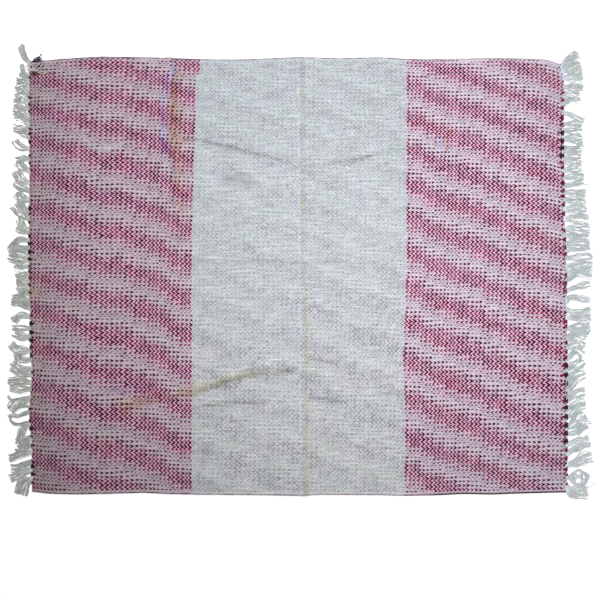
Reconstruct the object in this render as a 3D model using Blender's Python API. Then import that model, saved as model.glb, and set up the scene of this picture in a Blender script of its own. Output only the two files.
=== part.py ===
# A woven cotton throw lying flat and face up, with a fringe of warp ends at its left and right.
# Metres, +Z up. X runs along the warp and Y along the weft, and the floor is at Z = 0.
# Each piece is drawn flat as a plan, and the plan is then raised to the thickness of cloth or yarn.

import math
import random
from collections import namedtuple

import bmesh
import bpy
from mathutils import Matrix, Vector
from mathutils.geometry import delaunay_2d_cdt

MM = 0.001
LEFT, RIGHT = -1, 1
BOTTOM, TOP = -1, 1

# Driving dimensions
HALF_LENGTH = 0.765  # middle of the cloth to its fringed ends
HALF_WIDTH = 0.625  # middle of the cloth to its selvedges
SHEET_THICKNESS = 0.0025
PIECE_GAP = 0.0003  # between the cloth and each fringe strip
STRIP_WIDTH = 0.004  # the row of yarn that the locks grow from
STRIP_HEIGHT = 0.0025
GATHER_WIDTH = 0.0135  # each lock is drawn together where it leaves the strip
GATHER_LENGTH = 0.008
GATHER_HEIGHT = 0.0045
LOCK_WIDTH = 0.019  # a lock where it has spread out
LOCK_GAP = 0.0014  # between one lock and the next
STRAND_GAP = 0.0012  # between the strands of one lock
STRAND_HEIGHT = 0.003
TIP_HEIGHT = 0.002
TIP_NARROWING = 0.55  # a strand's width at its tip, as a share of its width before it
UNEVEN_CUT = 0.05  # strands are cut longer or shorter by up to this share
UNEVEN_CUT_SEED = 7

# How fine the plans are drawn
EDGE_STEP = 0.060
CREASE_STEP = 0.036
CREASE_LINES = (-1.0, -0.5, 0.0, 0.5, 1.0)  # lines drawn across a crease, in half widths
CREASE_FADE = 0.060  # the ends of a crease run out flat over this length
FLAT_BELOW = 0.00005  # a lower lift than this is left flat on the floor
STRAND_STATIONS = (0.36, 0.70, 1.0)  # shares of a strand's length
SPREAD_EARLY = 1.6  # a lock has its full width well before its tip
TURN_SHARE = 0.36  # a lock comes straight out of its gather and has turned by here
NEIGHBOUR_STEPS = 20  # places along a neighbouring lock where the room is measured
PLAN_PRECISION = 1e-6
SMOOTH_ANGLE = math.radians(35)

# Outline of the cloth, in mm: a place along the edge, and how far beyond the half size it lies
EdgePoint = namedtuple("EdgePoint", "along beyond")
SELVEDGES = {
    TOP: [EdgePoint(*row) for row in (
        (-767, -12), (-722, -8), (-636, -1), (-559, 3.5), (-422, 0.5), (-279, -4.5),
        (-164, -5.5), (7, 1.5), (121, -2), (236, 1), (310, -4.5), (456, -3.5),
        (585, -1), (693, -4), (725, -6.5), (748, -15), (755, -21),
    )],
    BOTTOM: [EdgePoint(*row) for row in (
        (-758, -10), (-730, -4.5), (-633, -1.5), (-522, -4), (-439, -6.5), (-376, -3),
        (-279, -1), (-119, 0.5), (13, 2.5), (59, -0.5), (233, 0.5), (293, 2.5),
        (402, 1), (476, -3), (548, -1), (622, -3.5), (763, -7.5),
    )],
}
FRINGED_ENDS = {
    LEFT: [EdgePoint(*row) for row in (
        (-612, -6.5), (-525, -6), (-439, -2.5), (-397, 2.5), (-311, -3), (-268, -7),
        (-225, -1.5), (-96, -1.5), (-68, 2.5), (104, 2.5), (304, 1), (504, 2.5), (611, 2),
    )],
    RIGHT: [EdgePoint(*row) for row in (
        (-612, 5), (-182, 5), (-68, 3.5), (47, 3.5), (147, -1.5), (261, -3.5),
        (332, -6), (504, -6), (553, -1.5), (570, -6), (602.5, -10),
    )],
}

# Creases left by folding: soft ridges that lift the sheet off the floor along a line. Height, half
# width and the points of a line are in mm, and a point's third value is its share of the height.
Crease = namedtuple("Crease", "name height half_width line")
CREASES = (
    Crease("centre fold", 4.0, 13,
           ((6, 710, 1), (9, 361, 0.7), (11, 75, 1), (14, -211, 0.8), (17, -710, 1))),
    Crease("upper left ridge", 8.5, 20,
           ((-362, 710, 1), (-366, 420, 0.75), (-363, 218, 1), (-352, 118, 0.7), (-341, 60, 0.5))),
    Crease("cross fold", 2.5, 10, ((-312, 42, 0.6), (-120, 44, 1), (138, 41, 0.7))),
    Crease("upper left crease", 3.5, 10,
           ((-296, 392, 0.6), (-193, 374, 1), (-124, 352, 0.8), (-86, 333, 0.6))),
    Crease("upper right crease", 3.0, 10,
           ((312, 364, 0.5), (207, 338, 0.9), (141, 325, 1), (34, 314, 0.7))),
    Crease("long diagonal", 7.5, 21,
           ((-520, -378, 0.5), (-413, -342, 0.8), (-310, -325, 0.65), (-219, -299, 1),
            (-90, -256, 0.9), (14, -243, 0.6))),
    Crease("short diagonal", 4.0, 9, ((-146, -302, 0.6), (-80, -288, 1), (-10, -270, 0.8))),
    Crease("low left crease", 3.0, 12, ((-295, -375, 0.7), (-195, -360, 1), (-97, -351, 0.6))),
    Crease("right of the fold", 3.0, 10, ((34, -229, 0.8), (80, -240, 1), (126, -257, 0.6))),
    Crease("low right crease", 2.5, 10, ((36, -341, 0.7), (90, -352, 1), (138, -360, 0.8))),
    Crease("low right end", 2.5, 9, ((222, -333, 0.6), (262, -337, 1), (302, -339, 0.6))),
    Crease("right band dent", 2.5, 9, ((429, 402, 0.6), (420, 380, 1), (411, 352, 0.7))),
)

# How the locks lie, from the top corner down, in mm. A stretch of the end holds some locks
# of 2 or 3 strands. Reach is how far out a tip lies, lean how far it has drifted up the end, and
# bow how far the middle of the lock swings up.
Stretch = namedtuple(
    "Stretch",
    "locks strands root_from root_to reach_from reach_to lean_from lean_to bow_from bow_to")
STRETCHES = {
    LEFT: [Stretch(*row) for row in (
        (1, 3, 611, 595, 27, 27, 40, 40, 1, 1),
        (5, 2, 592, 498, 27, 41, 21, 13, 2, 6),
        (4, 2, 498, 418, 44, 48, 16, 22, 6, 4),
        (2, 3, 418, 382, 47, 32, 3, 3, 0, 1),
        (3, 2, 382, 326, 41, 40, 10, 6, 0, 3),
        (4, 3, 326, 236, 36, 41, 14, 30, 4, 6),
        (4, 2, 236, 158, 38, 48, 28, 38, 4, 8),
        (2, 3, 158, 116, 34, 27, 24, 8, 5, 3),
        (1, 3, 116, 92, 60, 60, -7, -7, 3, 3),
        (3, 3, 92, 30, 58, 64, -3, 6, 0, 0),
        (4, 3, 30, -60, 43, 27, 2, 0, 2, 2),
        (2, 3, -60, -100, 49, 53, 11, 13, 6, 6),
        (2, 2, -100, -138, 36, 46, 3, 1, 0, 0),
        (3, 3, -138, -200, 52, 54, 2, 9, 1, -2),
        (4, 2, -200, -288, 46, 56, 15, 18, -5, -6),
        (2, 3, -288, -334, 64, 60, 5, 2, 0, 0),
        (3, 3, -334, -398, 62, 61, 2, -5, -3, -1),
        (1, 3, -398, -420, 58, 58, 0, 0, -2, -2),
        (3, 2, -420, -488, 34, 46, -24, -21, -3, -2),
        (2, 3, -488, -532, 62, 62, -19, -16, -1, 0),
        (2, 3, -532, -580, 62, 58, -14, -14, 1, 0),
        (1, 3, -580, -611, 26, 26, -37, -37, 0, 0),
    )],
    RIGHT: [Stretch(*row) for row in (
        (3, 3, 602, 556, 43, 53, 36, 8, 0, 0),
        (3, 3, 550, 480, 57, 53, 2, 15, 2, 7),
        (3, 3, 480, 406, 61, 54, -26, -3, 7, 0),
        (2, 3, 406, 360, 57, 59, -2, 5, 0, -3),
        (5, 3, 360, 270, 53, 56, 4, 5, 0, 0),
        (6, 3, 270, 128, 55, 69, 9, -5, 2, 0),
        (3, 3, 128, 60, 68, 69, -5, 6, 0, 1),
        (5, 3, 60, -56, 75, 69, 4, 19, 0, 7),
        (1, 3, -56, -86, 73, 73, 7, 7, 8, 8),
        (4, 3, -86, -194, 74, 60, -2, 8, -6, 7),
        (3, 2, -194, -254, 53, 47, 5, 9, 7, 8),
        (1, 3, -254, -284, 55, 55, 24, 24, 3, 3),
        (2, 2, -284, -336, 48, 52, 36, 46, 10, 16),
        (3, 3, -336, -418, 53, 53, 20, 32, 5, 5),
        (3, 3, -418, -494, 55, 64, 34, 20, 0, 2),
        (2, 3, -494, -556, 68, 73, 27, 24, 3, 3),
        (1, 3, -556, -582, 52, 52, 10, 10, 12, 12),
        (1, 3, -582, -612, 64, 64, -11, -11, -9, -9),
    )],
}

# Name of each piece, with its colour
CLOTH_COLOUR = (0.57, 0.44, 0.53, 1.0)
FRINGES = {
    LEFT: ("fringe_left", (0.42, 0.43, 0.41, 1.0)),
    RIGHT: ("fringe_right", (0.52, 0.55, 0.55, 1.0)),
}
COTTON_ROUGHNESS = 0.9


def between(first, last, share):
    return first + (last - first) * share


def eased(share):
    share = min(max(share, 0.0), 1.0)
    return share * share * (3 - 2 * share)


def beyond(edge, along):
    """How far the cloth reaches beyond its half size at a place along one edge, in metres."""
    place = along / MM
    for low, high in zip(edge, edge[1:]):
        if place <= high.along:
            share = max((place - low.along) / (high.along - low.along), 0.0)
            return between(low.beyond, high.beyond, share) * MM
    return edge[-1].beyond * MM


def end_x(side, y):
    return side * (HALF_LENGTH + beyond(FRINGED_ENDS[side], y))


def selvedge_point(side, along):
    x = along * MM
    return Vector((x, side * (HALF_WIDTH + beyond(SELVEDGES[side], x))))


def selvedge_points(side):
    """One selvedge from left to right, with a point at each row of its table and between rows."""
    rows = SELVEDGES[side]
    points = [selvedge_point(side, rows[0].along)]
    for low, high in zip(rows, rows[1:]):
        parts = math.ceil((high.along - low.along) * MM / EDGE_STEP)
        for part in range(1, parts + 1):
            points.append(selvedge_point(side, between(low.along, high.along, part / parts)))
    return points


class Lock:
    """One lock of warp ends, rooted at one place on a fringed end."""

    def __init__(self, side, stretch, number):
        root_share = (number + 0.5) / stretch.locks
        lie_share = number / (stretch.locks - 1) if stretch.locks > 1 else 0.5
        self.side = side
        self.strands = stretch.strands
        self.root = between(stretch.root_from, stretch.root_to, root_share) * MM
        reach = between(stretch.reach_from, stretch.reach_to, lie_share) * MM
        lean = between(stretch.lean_from, stretch.lean_to, lie_share) * MM
        bow = between(stretch.bow_from, stretch.bow_to, lie_share) * MM
        edge = end_x(side, self.root)
        self.strip_x = edge + side * (PIECE_GAP + STRIP_WIDTH)
        self.start = Vector((self.strip_x + side * GATHER_LENGTH, self.root))
        self.tip = Vector((edge + side * reach, self.root + lean))
        self.pull = (self.start + self.tip) / 2 + Vector((0, 2 * bow))

    def place(self, share):
        """A point on the lock's middle line, from its gather (0) to its tip (1)."""
        rest = 1 - share
        return self.start * rest ** 2 + self.pull * (2 * share * rest) + self.tip * share ** 2

    def across(self, share):
        """The direction across the lock that points up the end."""
        along = (self.pull - self.start) * (1 - share) + (self.tip - self.pull) * share
        square = Vector((-along.y, along.x)).normalized() * self.side
        up_the_end = Vector((0, 1))
        return up_the_end.lerp(square, eased(share / TURN_SHARE)).normalized()

    def half_width(self, share, neighbours):
        """A lock spreads out from its gather, as far as its neighbours leave room."""
        wide = between(GATHER_WIDTH, LOCK_WIDTH, eased(share * SPREAD_EARLY)) / 2
        here = self.place(share)
        for other in neighbours:
            for step in range(NEIGHBOUR_STEPS + 1):
                there = other.place(step / NEIGHBOUR_STEPS * (1 + UNEVEN_CUT))
                wide = min(wide, ((there - here).length - LOCK_GAP) / 2)
        return wide


def locks_of(side):
    return [
        Lock(side, stretch, number)
        for stretch in STRETCHES[side]
        for number in range(stretch.locks)
    ]


def strip_stations(side, locks):
    """Places down a fringed end: its top, both sides of each gather in turn, and its bottom."""
    edge = FRINGED_ENDS[side]
    stations = [edge[-1].along * MM]
    for lock in locks:
        stations.append(lock.root + GATHER_WIDTH / 2)
        stations.append(lock.root - GATHER_WIDTH / 2)
    stations.append(edge[0].along * MM)
    return stations


def crease_rows(crease):
    """Points along the middle of a crease, in metres, with the direction across it at each."""
    corners = [Vector(point[:2]) * MM for point in crease.line]
    middle = [corners[0]]
    for low, high in zip(corners, corners[1:]):
        parts = math.ceil((high - low).length / CREASE_STEP)
        middle.extend(low.lerp(high, part / parts) for part in range(1, parts + 1))
    rows = []
    for index, point in enumerate(middle):
        along = middle[min(index + 1, len(middle) - 1)] - middle[max(index - 1, 0)]
        rows.append((point, Vector((-along.y, along.x)).normalized()))
    return rows


def crease_lift(crease, point):
    """How far one crease lifts the sheet at a point."""
    corners = [Vector(corner[:2]) * MM for corner in crease.line]
    shares = [corner[2] for corner in crease.line]
    whole = sum((high - low).length for low, high in zip(corners, corners[1:]))
    walked = 0.0
    nearest = math.inf
    place = 0.0
    crest = 0.0
    for index, (low, high) in enumerate(zip(corners, corners[1:])):
        run = high - low
        share = min(max((point - low).dot(run) / run.length_squared, 0.0), 1.0)
        away = (point - low.lerp(high, share)).length
        if away < nearest:
            nearest = away
            place = walked + share * run.length
            crest = between(shares[index], shares[index + 1], eased(share)) * crease.height * MM
        walked += run.length
    half_width = crease.half_width * MM
    if nearest >= half_width:
        return 0.0
    fade = eased(place / CREASE_FADE) * eased((whole - place) / CREASE_FADE)
    return crest * fade * (1 + math.cos(math.pi * nearest / half_width)) / 2


def sheet_lift(point):
    lift = max(crease_lift(crease, point) for crease in CREASES)
    return lift if lift > FLAT_BELOW else 0.0


def new_plan():
    """An empty flat plan, whose points hold their lift off the floor and their thickness."""
    plan = bmesh.new()
    lift = plan.verts.layers.float.new("lift")
    thickness = plan.verts.layers.float.new("thickness")

    def dot(point, thick, lifted=0.0):
        vert = plan.verts.new((point[0], point[1], 0.0))
        vert[lift] = lifted
        vert[thickness] = thick
        return vert

    return plan, dot


def cloth_plan(stations):
    """The outline of the cloth, cut into triangles that follow its creases."""
    loop = selvedge_points(BOTTOM)
    loop += [Vector((end_x(RIGHT, y), y)) for y in reversed(stations[RIGHT])]
    loop += reversed(selvedge_points(TOP))
    loop += [Vector((end_x(LEFT, y), y)) for y in stations[LEFT]]
    points = list(loop)
    lines = []
    for crease in CREASES:
        rows = crease_rows(crease)
        for offset in CREASE_LINES:
            first = len(points)
            points += [middle + across * (offset * crease.half_width * MM) for middle, across in rows]
            lines += [(index, index + 1) for index in range(first, len(points) - 1)]
    found = delaunay_2d_cdt(points, lines, [list(range(len(loop)))], 0, PLAN_PRECISION)
    places, triangles, inside = found[0], found[2], found[5]
    plan, dot = new_plan()
    dots = [dot(place, SHEET_THICKNESS, sheet_lift(place)) for place in places]
    for triangle, outlines in zip(triangles, inside):
        if outlines:
            plan.faces.new([dots[index] for index in triangle])
    unused = [vert for vert in plan.verts if not vert.link_faces]
    bmesh.ops.delete(plan, geom=unused, context="VERTS")
    return plan


def add_lock(plan, dot, lock, neighbours, corners, cut_lengths):
    """A gather on the strip's outer side, and the strands that spread from it."""
    upper, lower = corners
    crest_x = lock.strip_x + lock.side * GATHER_LENGTH / 2
    crest = [
        dot((crest_x, lock.root + GATHER_WIDTH / 2), GATHER_HEIGHT),
        dot((crest_x, lock.root - GATHER_WIDTH / 2), GATHER_HEIGHT),
    ]
    plan.faces.new((upper, crest[0], crest[1], lower))

    def strand_sides(number, share, narrowing, height):
        wide = lock.half_width(share, neighbours)
        middle = wide * (1 - (2 * number + 1) / lock.strands)
        half = (wide / lock.strands - STRAND_GAP / 2) * narrowing
        place, across = lock.place(share), lock.across(share)
        return [dot(place + across * (middle + half), height),
                dot(place + across * (middle - half), height)]

    roots = [strand_sides(number, 0.0, 1.0, STRAND_HEIGHT) for number in range(lock.strands)]
    row = [vert for root in roots for vert in root]
    plan.faces.new((crest[0], *row, crest[1]))
    for number, root in enumerate(roots):
        length = 1 + cut_lengths.uniform(-UNEVEN_CUT, UNEVEN_CUT)
        last = root
        for station in STRAND_STATIONS:
            at_tip = station == STRAND_STATIONS[-1]
            sides = strand_sides(number, station * length, TIP_NARROWING if at_tip else 1.0,
                                 TIP_HEIGHT if at_tip else STRAND_HEIGHT)
            plan.faces.new((last[0], sides[0], sides[1], last[1]))
            last = sides


def fringe_plan(side, locks, stations):
    """The strip along a fringed end, with every lock that grows from it."""
    plan, dot = new_plan()
    inner = [dot((end_x(side, y) + side * PIECE_GAP, y), STRIP_HEIGHT) for y in stations]
    outer = [
        dot((end_x(side, y) + side * (PIECE_GAP + STRIP_WIDTH), y), STRIP_HEIGHT)
        for y in stations
    ]
    for index in range(len(stations) - 1):
        plan.faces.new((inner[index], inner[index + 1], outer[index + 1], outer[index]))
    cut_lengths = random.Random(UNEVEN_CUT_SEED + side)
    for index, lock in enumerate(locks):
        neighbours = locks[max(index - 1, 0):index] + locks[index + 1:index + 2]
        corners = outer[2 * index + 1], outer[2 * index + 2]
        add_lock(plan, dot, lock, neighbours, corners, cut_lengths)
    return plan


def cotton(name, colour):
    material = bpy.data.materials.new(name)
    material.use_nodes = True
    shader = material.node_tree.nodes["Principled BSDF"]
    shader.inputs["Base Color"].default_value = colour
    shader.inputs["Roughness"].default_value = COTTON_ROUGHNESS
    shader.inputs["Metallic"].default_value = 0.0
    return material


def raised(name, plan, colour):
    """Raises a plan to its thickness and makes it the object of that name."""
    lift = plan.verts.layers.float["lift"]
    thickness = plan.verts.layers.float["thickness"]
    grown = bmesh.ops.extrude_face_region(plan, geom=plan.faces[:])
    for vert in grown["geom"]:
        if isinstance(vert, bmesh.types.BMVert):
            vert.co.z += vert[thickness]
    for vert in plan.verts:
        vert.co.z += vert[lift]
    bmesh.ops.triangulate(plan, faces=plan.faces[:])
    bmesh.ops.recalc_face_normals(plan, faces=plan.faces[:])
    mesh = bpy.data.meshes.new(name)
    plan.to_mesh(mesh)
    plan.free()
    mesh.shade_smooth()
    mesh.set_sharp_from_angle(angle=SMOOTH_ANGLE)
    mesh.materials.append(cotton(name, colour))
    piece = bpy.data.objects.new(name, mesh)
    bpy.context.scene.collection.objects.link(piece)
    return piece


def stand_on_origin(pieces):
    """Moves the points so that the origin is on the floor under the middle of the whole."""
    points = [vert.co for piece in pieces for vert in piece.data.vertices]
    low = [min(point[axis] for point in points) for axis in range(3)]
    high = [max(point[axis] for point in points) for axis in range(3)]
    middle = Vector(((low[0] + high[0]) / 2, (low[1] + high[1]) / 2, low[2]))
    for piece in pieces:
        piece.data.transform(Matrix.Translation(-middle))


def main():
    for old in list(bpy.data.objects):
        bpy.data.objects.remove(old, do_unlink=True)
    locks = {side: locks_of(side) for side in (LEFT, RIGHT)}
    stations = {side: strip_stations(side, locks[side]) for side in (LEFT, RIGHT)}
    pieces = [raised("cloth", cloth_plan(stations), CLOTH_COLOUR)]
    for side, (name, colour) in FRINGES.items():
        pieces.append(raised(name, fringe_plan(side, locks[side], stations[side]), colour))
    stand_on_origin(pieces)


main()
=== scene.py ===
import math
import random

import bpy
import numpy as np
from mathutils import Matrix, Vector


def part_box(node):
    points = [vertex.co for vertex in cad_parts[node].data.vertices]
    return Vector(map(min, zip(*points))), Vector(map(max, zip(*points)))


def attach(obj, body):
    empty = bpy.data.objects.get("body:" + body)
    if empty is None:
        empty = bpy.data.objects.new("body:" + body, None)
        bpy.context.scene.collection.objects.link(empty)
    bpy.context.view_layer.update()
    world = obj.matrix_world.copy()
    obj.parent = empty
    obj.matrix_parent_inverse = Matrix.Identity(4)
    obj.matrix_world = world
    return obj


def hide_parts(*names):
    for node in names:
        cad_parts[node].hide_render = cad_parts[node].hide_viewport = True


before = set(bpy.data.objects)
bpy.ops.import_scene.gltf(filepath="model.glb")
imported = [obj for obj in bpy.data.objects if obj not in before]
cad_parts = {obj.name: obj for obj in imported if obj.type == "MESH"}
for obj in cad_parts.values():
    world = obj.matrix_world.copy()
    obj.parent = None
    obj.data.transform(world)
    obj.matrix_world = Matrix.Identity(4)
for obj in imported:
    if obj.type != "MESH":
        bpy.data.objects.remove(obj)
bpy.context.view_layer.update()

print("frame loaded")

# Sizes in the dictionaries are millimetres from the middle of the cloth, x to the right fringe and
# y to the upper selvedge. Columns and rows count the zigzags from the upper left corner.
mm = 0.001
cornerReach = (767.5, 628.5)  # how far the solid cloth reaches to the left and up
clothLow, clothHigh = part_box("cloth")
middle = Vector((clothLow.x + cornerReach[0] * mm, clothHigh.y - cornerReach[1] * mm, 0.0))


def place(x, y, z):
    return (x * mm + middle.x, y * mm + middle.y, z * mm)


def readTable(table, value):
    return np.interp(value, [row[0] for row in table], [row[1] for row in table])


def softTable(table, value, reach):
    # the mean of a few readings round each value, which takes the corners off
    return sum(readTable(table, value + step * reach) for step in (-1, -0.5, 0, 0.5, 1)) / 5


def easedShare(value):
    value = np.clip(value, 0, 1)
    return value * value * (3 - 2 * value)


def gentleWaves(x, y, longest, seed):
    # slow unevenness between -1 and 1, as in cloth that was smoothed out by hand
    pick = random.Random(seed)
    total = np.zeros_like(x)
    for index in range(7):
        turn = pick.uniform(0, 2 * math.pi)
        length = longest / (1 + 0.45 * index)
        total += np.sin((x * math.cos(turn) + y * math.sin(turn)) * 2 * math.pi / length
                        + pick.uniform(0, 2 * math.pi)) / 7
    return total * 1.6


def addObject(name, data):
    made = bpy.data.objects.new(name, data)
    bpy.context.scene.collection.objects.link(made)
    return made


# The camera and the light.

studio = {
    "cameraAt": (7.1, -67.8, 2859),
    "lens": 60,
    "sensor": 36,
    "floorColour": (0.975, 0.975, 0.98),
    "floorRoughness": 0.9,
    "floorSpecular": 0.1,
    "floorSize": 9.0,
    "worldColour": (1.0, 1.0, 1.0),
    "worldStrength": 0.4,
    "lights": [
        # name, place in metres, size, power in watts, colour
        ("light_window_left", (-2.3, 1.7, 1.7), 1.5, 88, (0.95, 0.98, 1.0)),
        ("light_lamp_right", (1.9, -0.3, 2.8), 2.0, 75, (1.0, 0.99, 0.98)),
    ],
}


def makeStudio(values):
    scene = bpy.context.scene
    scene.view_settings.view_transform = "Standard"

    cameraData = bpy.data.cameras.new("camera_overhead")
    cameraData.lens = values["lens"]
    cameraData.sensor_width = values["sensor"]
    scene.camera = addObject("camera_overhead", cameraData)
    scene.camera.location = place(*values["cameraAt"])

    world = bpy.data.worlds.new("studio_world")
    world.use_nodes = True
    background = world.node_tree.nodes["Background"]
    background.inputs["Color"].default_value = (*values["worldColour"], 1)
    background.inputs["Strength"].default_value = values["worldStrength"]
    scene.world = world

    for name, at, size, power, colour in values["lights"]:
        lightData = bpy.data.lights.new(name, "AREA")
        lightData.shape = "DISK"
        lightData.size = size
        lightData.energy = power
        lightData.color = colour
        light = addObject(name, lightData)
        light.location = at
        light.rotation_euler = (-Vector(at)).to_track_quat("-Z", "Y").to_euler()

    half = values["floorSize"] / 2
    floorMesh = bpy.data.meshes.new("floor")
    floorMesh.from_pydata([(-half, -half, 0), (half, -half, 0), (half, half, 0), (-half, half, 0)],
                          [], [(0, 1, 2, 3)])
    floor = addObject("floor", floorMesh)
    floorPaint, _, shader = startMaterial("pale_floor")
    shader.inputs["Base Color"].default_value = (*values["floorColour"], 1)
    shader.inputs["Roughness"].default_value = values["floorRoughness"]
    shader.inputs["Specular IOR Level"].default_value = values["floorSpecular"]
    floorMesh.materials.append(floorPaint)


def startMaterial(name):
    material = bpy.data.materials.new(name)
    material.use_nodes = True
    tree = material.node_tree
    return material, tree, tree.nodes["Principled BSDF"]


makeStudio(studio)
print("studio, camera and floor made")


# Shader nodes written as sums. A Field is one output of a node, and reckoning with it adds math nodes.

class Field:
    def __init__(self, socket):
        self.socket, self.tree = socket, socket.id_data

    def __add__(self, other):
        return calc("ADD", self, other)

    def __sub__(self, other):
        return calc("SUBTRACT", self, other)

    def __rsub__(self, other):
        return calc("SUBTRACT", other, self)

    def __mul__(self, other):
        return calc("MULTIPLY", self, other)

    def __truediv__(self, other):
        return calc("DIVIDE", self, other)

    def __pow__(self, other):
        return calc("POWER", self, other)

    def __abs__(self):
        return calc("ABSOLUTE", self)


def addNode(tree, kind, **settings):
    made = tree.nodes.new(kind)
    for name, value in settings.items():
        setattr(made, name, value)
    return made


def feed(socket, value):
    if isinstance(value, Field):
        value.tree.links.new(value.socket, socket)
    else:
        socket.default_value = value


def treeOf(values):
    return next(value.tree for value in values if isinstance(value, Field))


def calc(operation, *values):
    made = addNode(treeOf(values), "ShaderNodeMath", operation=operation)
    for socket, value in zip(made.inputs, values):
        feed(socket, value)
    return Field(made.outputs[0])


def remap(value, fromLow, fromHigh, toLow=0.0, toHigh=1.0, kind="LINEAR"):
    made = addNode(value.tree, "ShaderNodeMapRange", interpolation_type=kind)
    for name, given in (("Value", value), ("From Min", fromLow), ("From Max", fromHigh),
                        ("To Min", toLow), ("To Max", toHigh)):
        feed(made.inputs[name], given)
    return Field(made.outputs["Result"])


def easeIn(value, start, end):
    return remap(value, start, end, kind="SMOOTHSTEP")


def between(share, low, high):
    return remap(share, 0.0, 1.0, low, high)


def mixColours(share, first, second, mode="MIX"):
    made = addNode(treeOf((share, first, second)), "ShaderNodeMix", data_type="RGBA", blend_type=mode)
    for index, value in ((0, share), (6, first), (7, second)):
        feed(made.inputs[index], (*value, 1) if isinstance(value, tuple) else value)
    return Field(made.outputs[2])


def tinted(base, tint, share=1.0):
    # the tint is a colour, or one number that makes it lighter or darker
    return mixColours(share, base, tint, "MULTIPLY")


def layered(base, colours, layers):
    # each layer is its share and the name of its colour, the lowest first
    for share, name in layers:
        base = mixColours(share, base, colours[name])
    return base


def softNoise(vector, scale, detail=2.0):
    made = addNode(vector.tree, "ShaderNodeTexNoise")
    for name, value in (("Vector", vector), ("Scale", scale), ("Detail", detail)):
        feed(made.inputs[name], value)
    return Field(made.outputs["Fac"])


def cellRandom(x, y, seed):
    cell = addNode(x.tree, "ShaderNodeCombineXYZ")
    for socket, value in zip(cell.inputs, (x, y, seed)):
        feed(socket, value)
    made = addNode(x.tree, "ShaderNodeTexWhiteNoise", noise_dimensions="3D")
    feed(made.inputs["Vector"], Field(cell.outputs[0]))
    return Field(made.outputs["Value"])


def readChart(value, chart):
    # a table of (place, value) as one curve node
    lowest, highest = min(row[1] for row in chart), max(row[1] for row in chart)
    first, last = chart[0][0], chart[-1][0]
    made = addNode(value.tree, "ShaderNodeFloatCurve")
    curve = made.mapping.curves[0]
    spots = [((at - first) / (last - first), (given - lowest) / (highest - lowest)) for at, given in chart]
    for spot in spots[1:-1]:
        curve.points.new(*spot)
    curve.points[0].location, curve.points[-1].location = spots[0], spots[-1]
    for point in curve.points:
        point.handle_type = "VECTOR"
    made.mapping.update()
    feed(made.inputs["Value"], remap(value, first, last))
    return Field(made.outputs[0]) * (highest - lowest) + lowest


def readUv(tree, name):
    split = addNode(tree, "ShaderNodeSeparateXYZ")
    feed(split.inputs[0], Field(addNode(tree, "ShaderNodeUVMap", uv_map=name).outputs["UV"]))
    return Field(split.outputs["X"]), Field(split.outputs["Y"])


def objectPlace(tree):
    return Field(addNode(tree, "ShaderNodeTexCoord").outputs["Object"])


def startGroup(name, inputs):
    # inputs are the names with their defaults
    tree = bpy.data.node_groups.new(name, "ShaderNodeTree")
    for label, default in inputs.items():
        socket = tree.interface.new_socket(name=label, in_out="INPUT", socket_type="NodeSocketFloat")
        socket.default_value = default
    given = addNode(tree, "NodeGroupInput").outputs
    return tree, {label: Field(given[label]) for label in inputs}


def finishGroup(tree, results):
    for label in results:
        tree.interface.new_socket(name=label, in_out="OUTPUT", socket_type="NodeSocketFloat")
    out = addNode(tree, "NodeGroupOutput").inputs
    for label, value in results.items():
        feed(out[label], value)
    return tree


def useGroup(group, **values):
    made = addNode(treeOf(values.values()), "ShaderNodeGroup", node_tree=group)
    for name, value in values.items():
        feed(made.inputs[name.replace("_", " ")], value)
    return {socket.name: Field(socket) for socket in made.outputs}


def finishShader(shader, values, base, roughness, height):
    for name, value in (("Base Color", base), ("Roughness", roughness),
                        ("Specular IOR Level", values["specular"]), ("Sheen Weight", values["sheen"])):
        feed(shader.inputs[name], value)
    bump = addNode(base.tree, "ShaderNodeBump")
    for name, value in (("Strength", values["bump"]), ("Distance", mm), ("Height", height)):
        feed(bump.inputs[name], value)
    feed(shader.inputs["Normal"], Field(bump.outputs["Normal"]))


def colour(red, green, blue):
    # a screen colour of 0 to 255, as the shader's own linear numbers
    def linear(part):
        part /= 255
        return part / 12.92 if part <= 0.04045 else ((part + 0.055) / 1.055) ** 2.4
    return (linear(red), linear(green), linear(blue))


# The shared shader groups.

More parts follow.
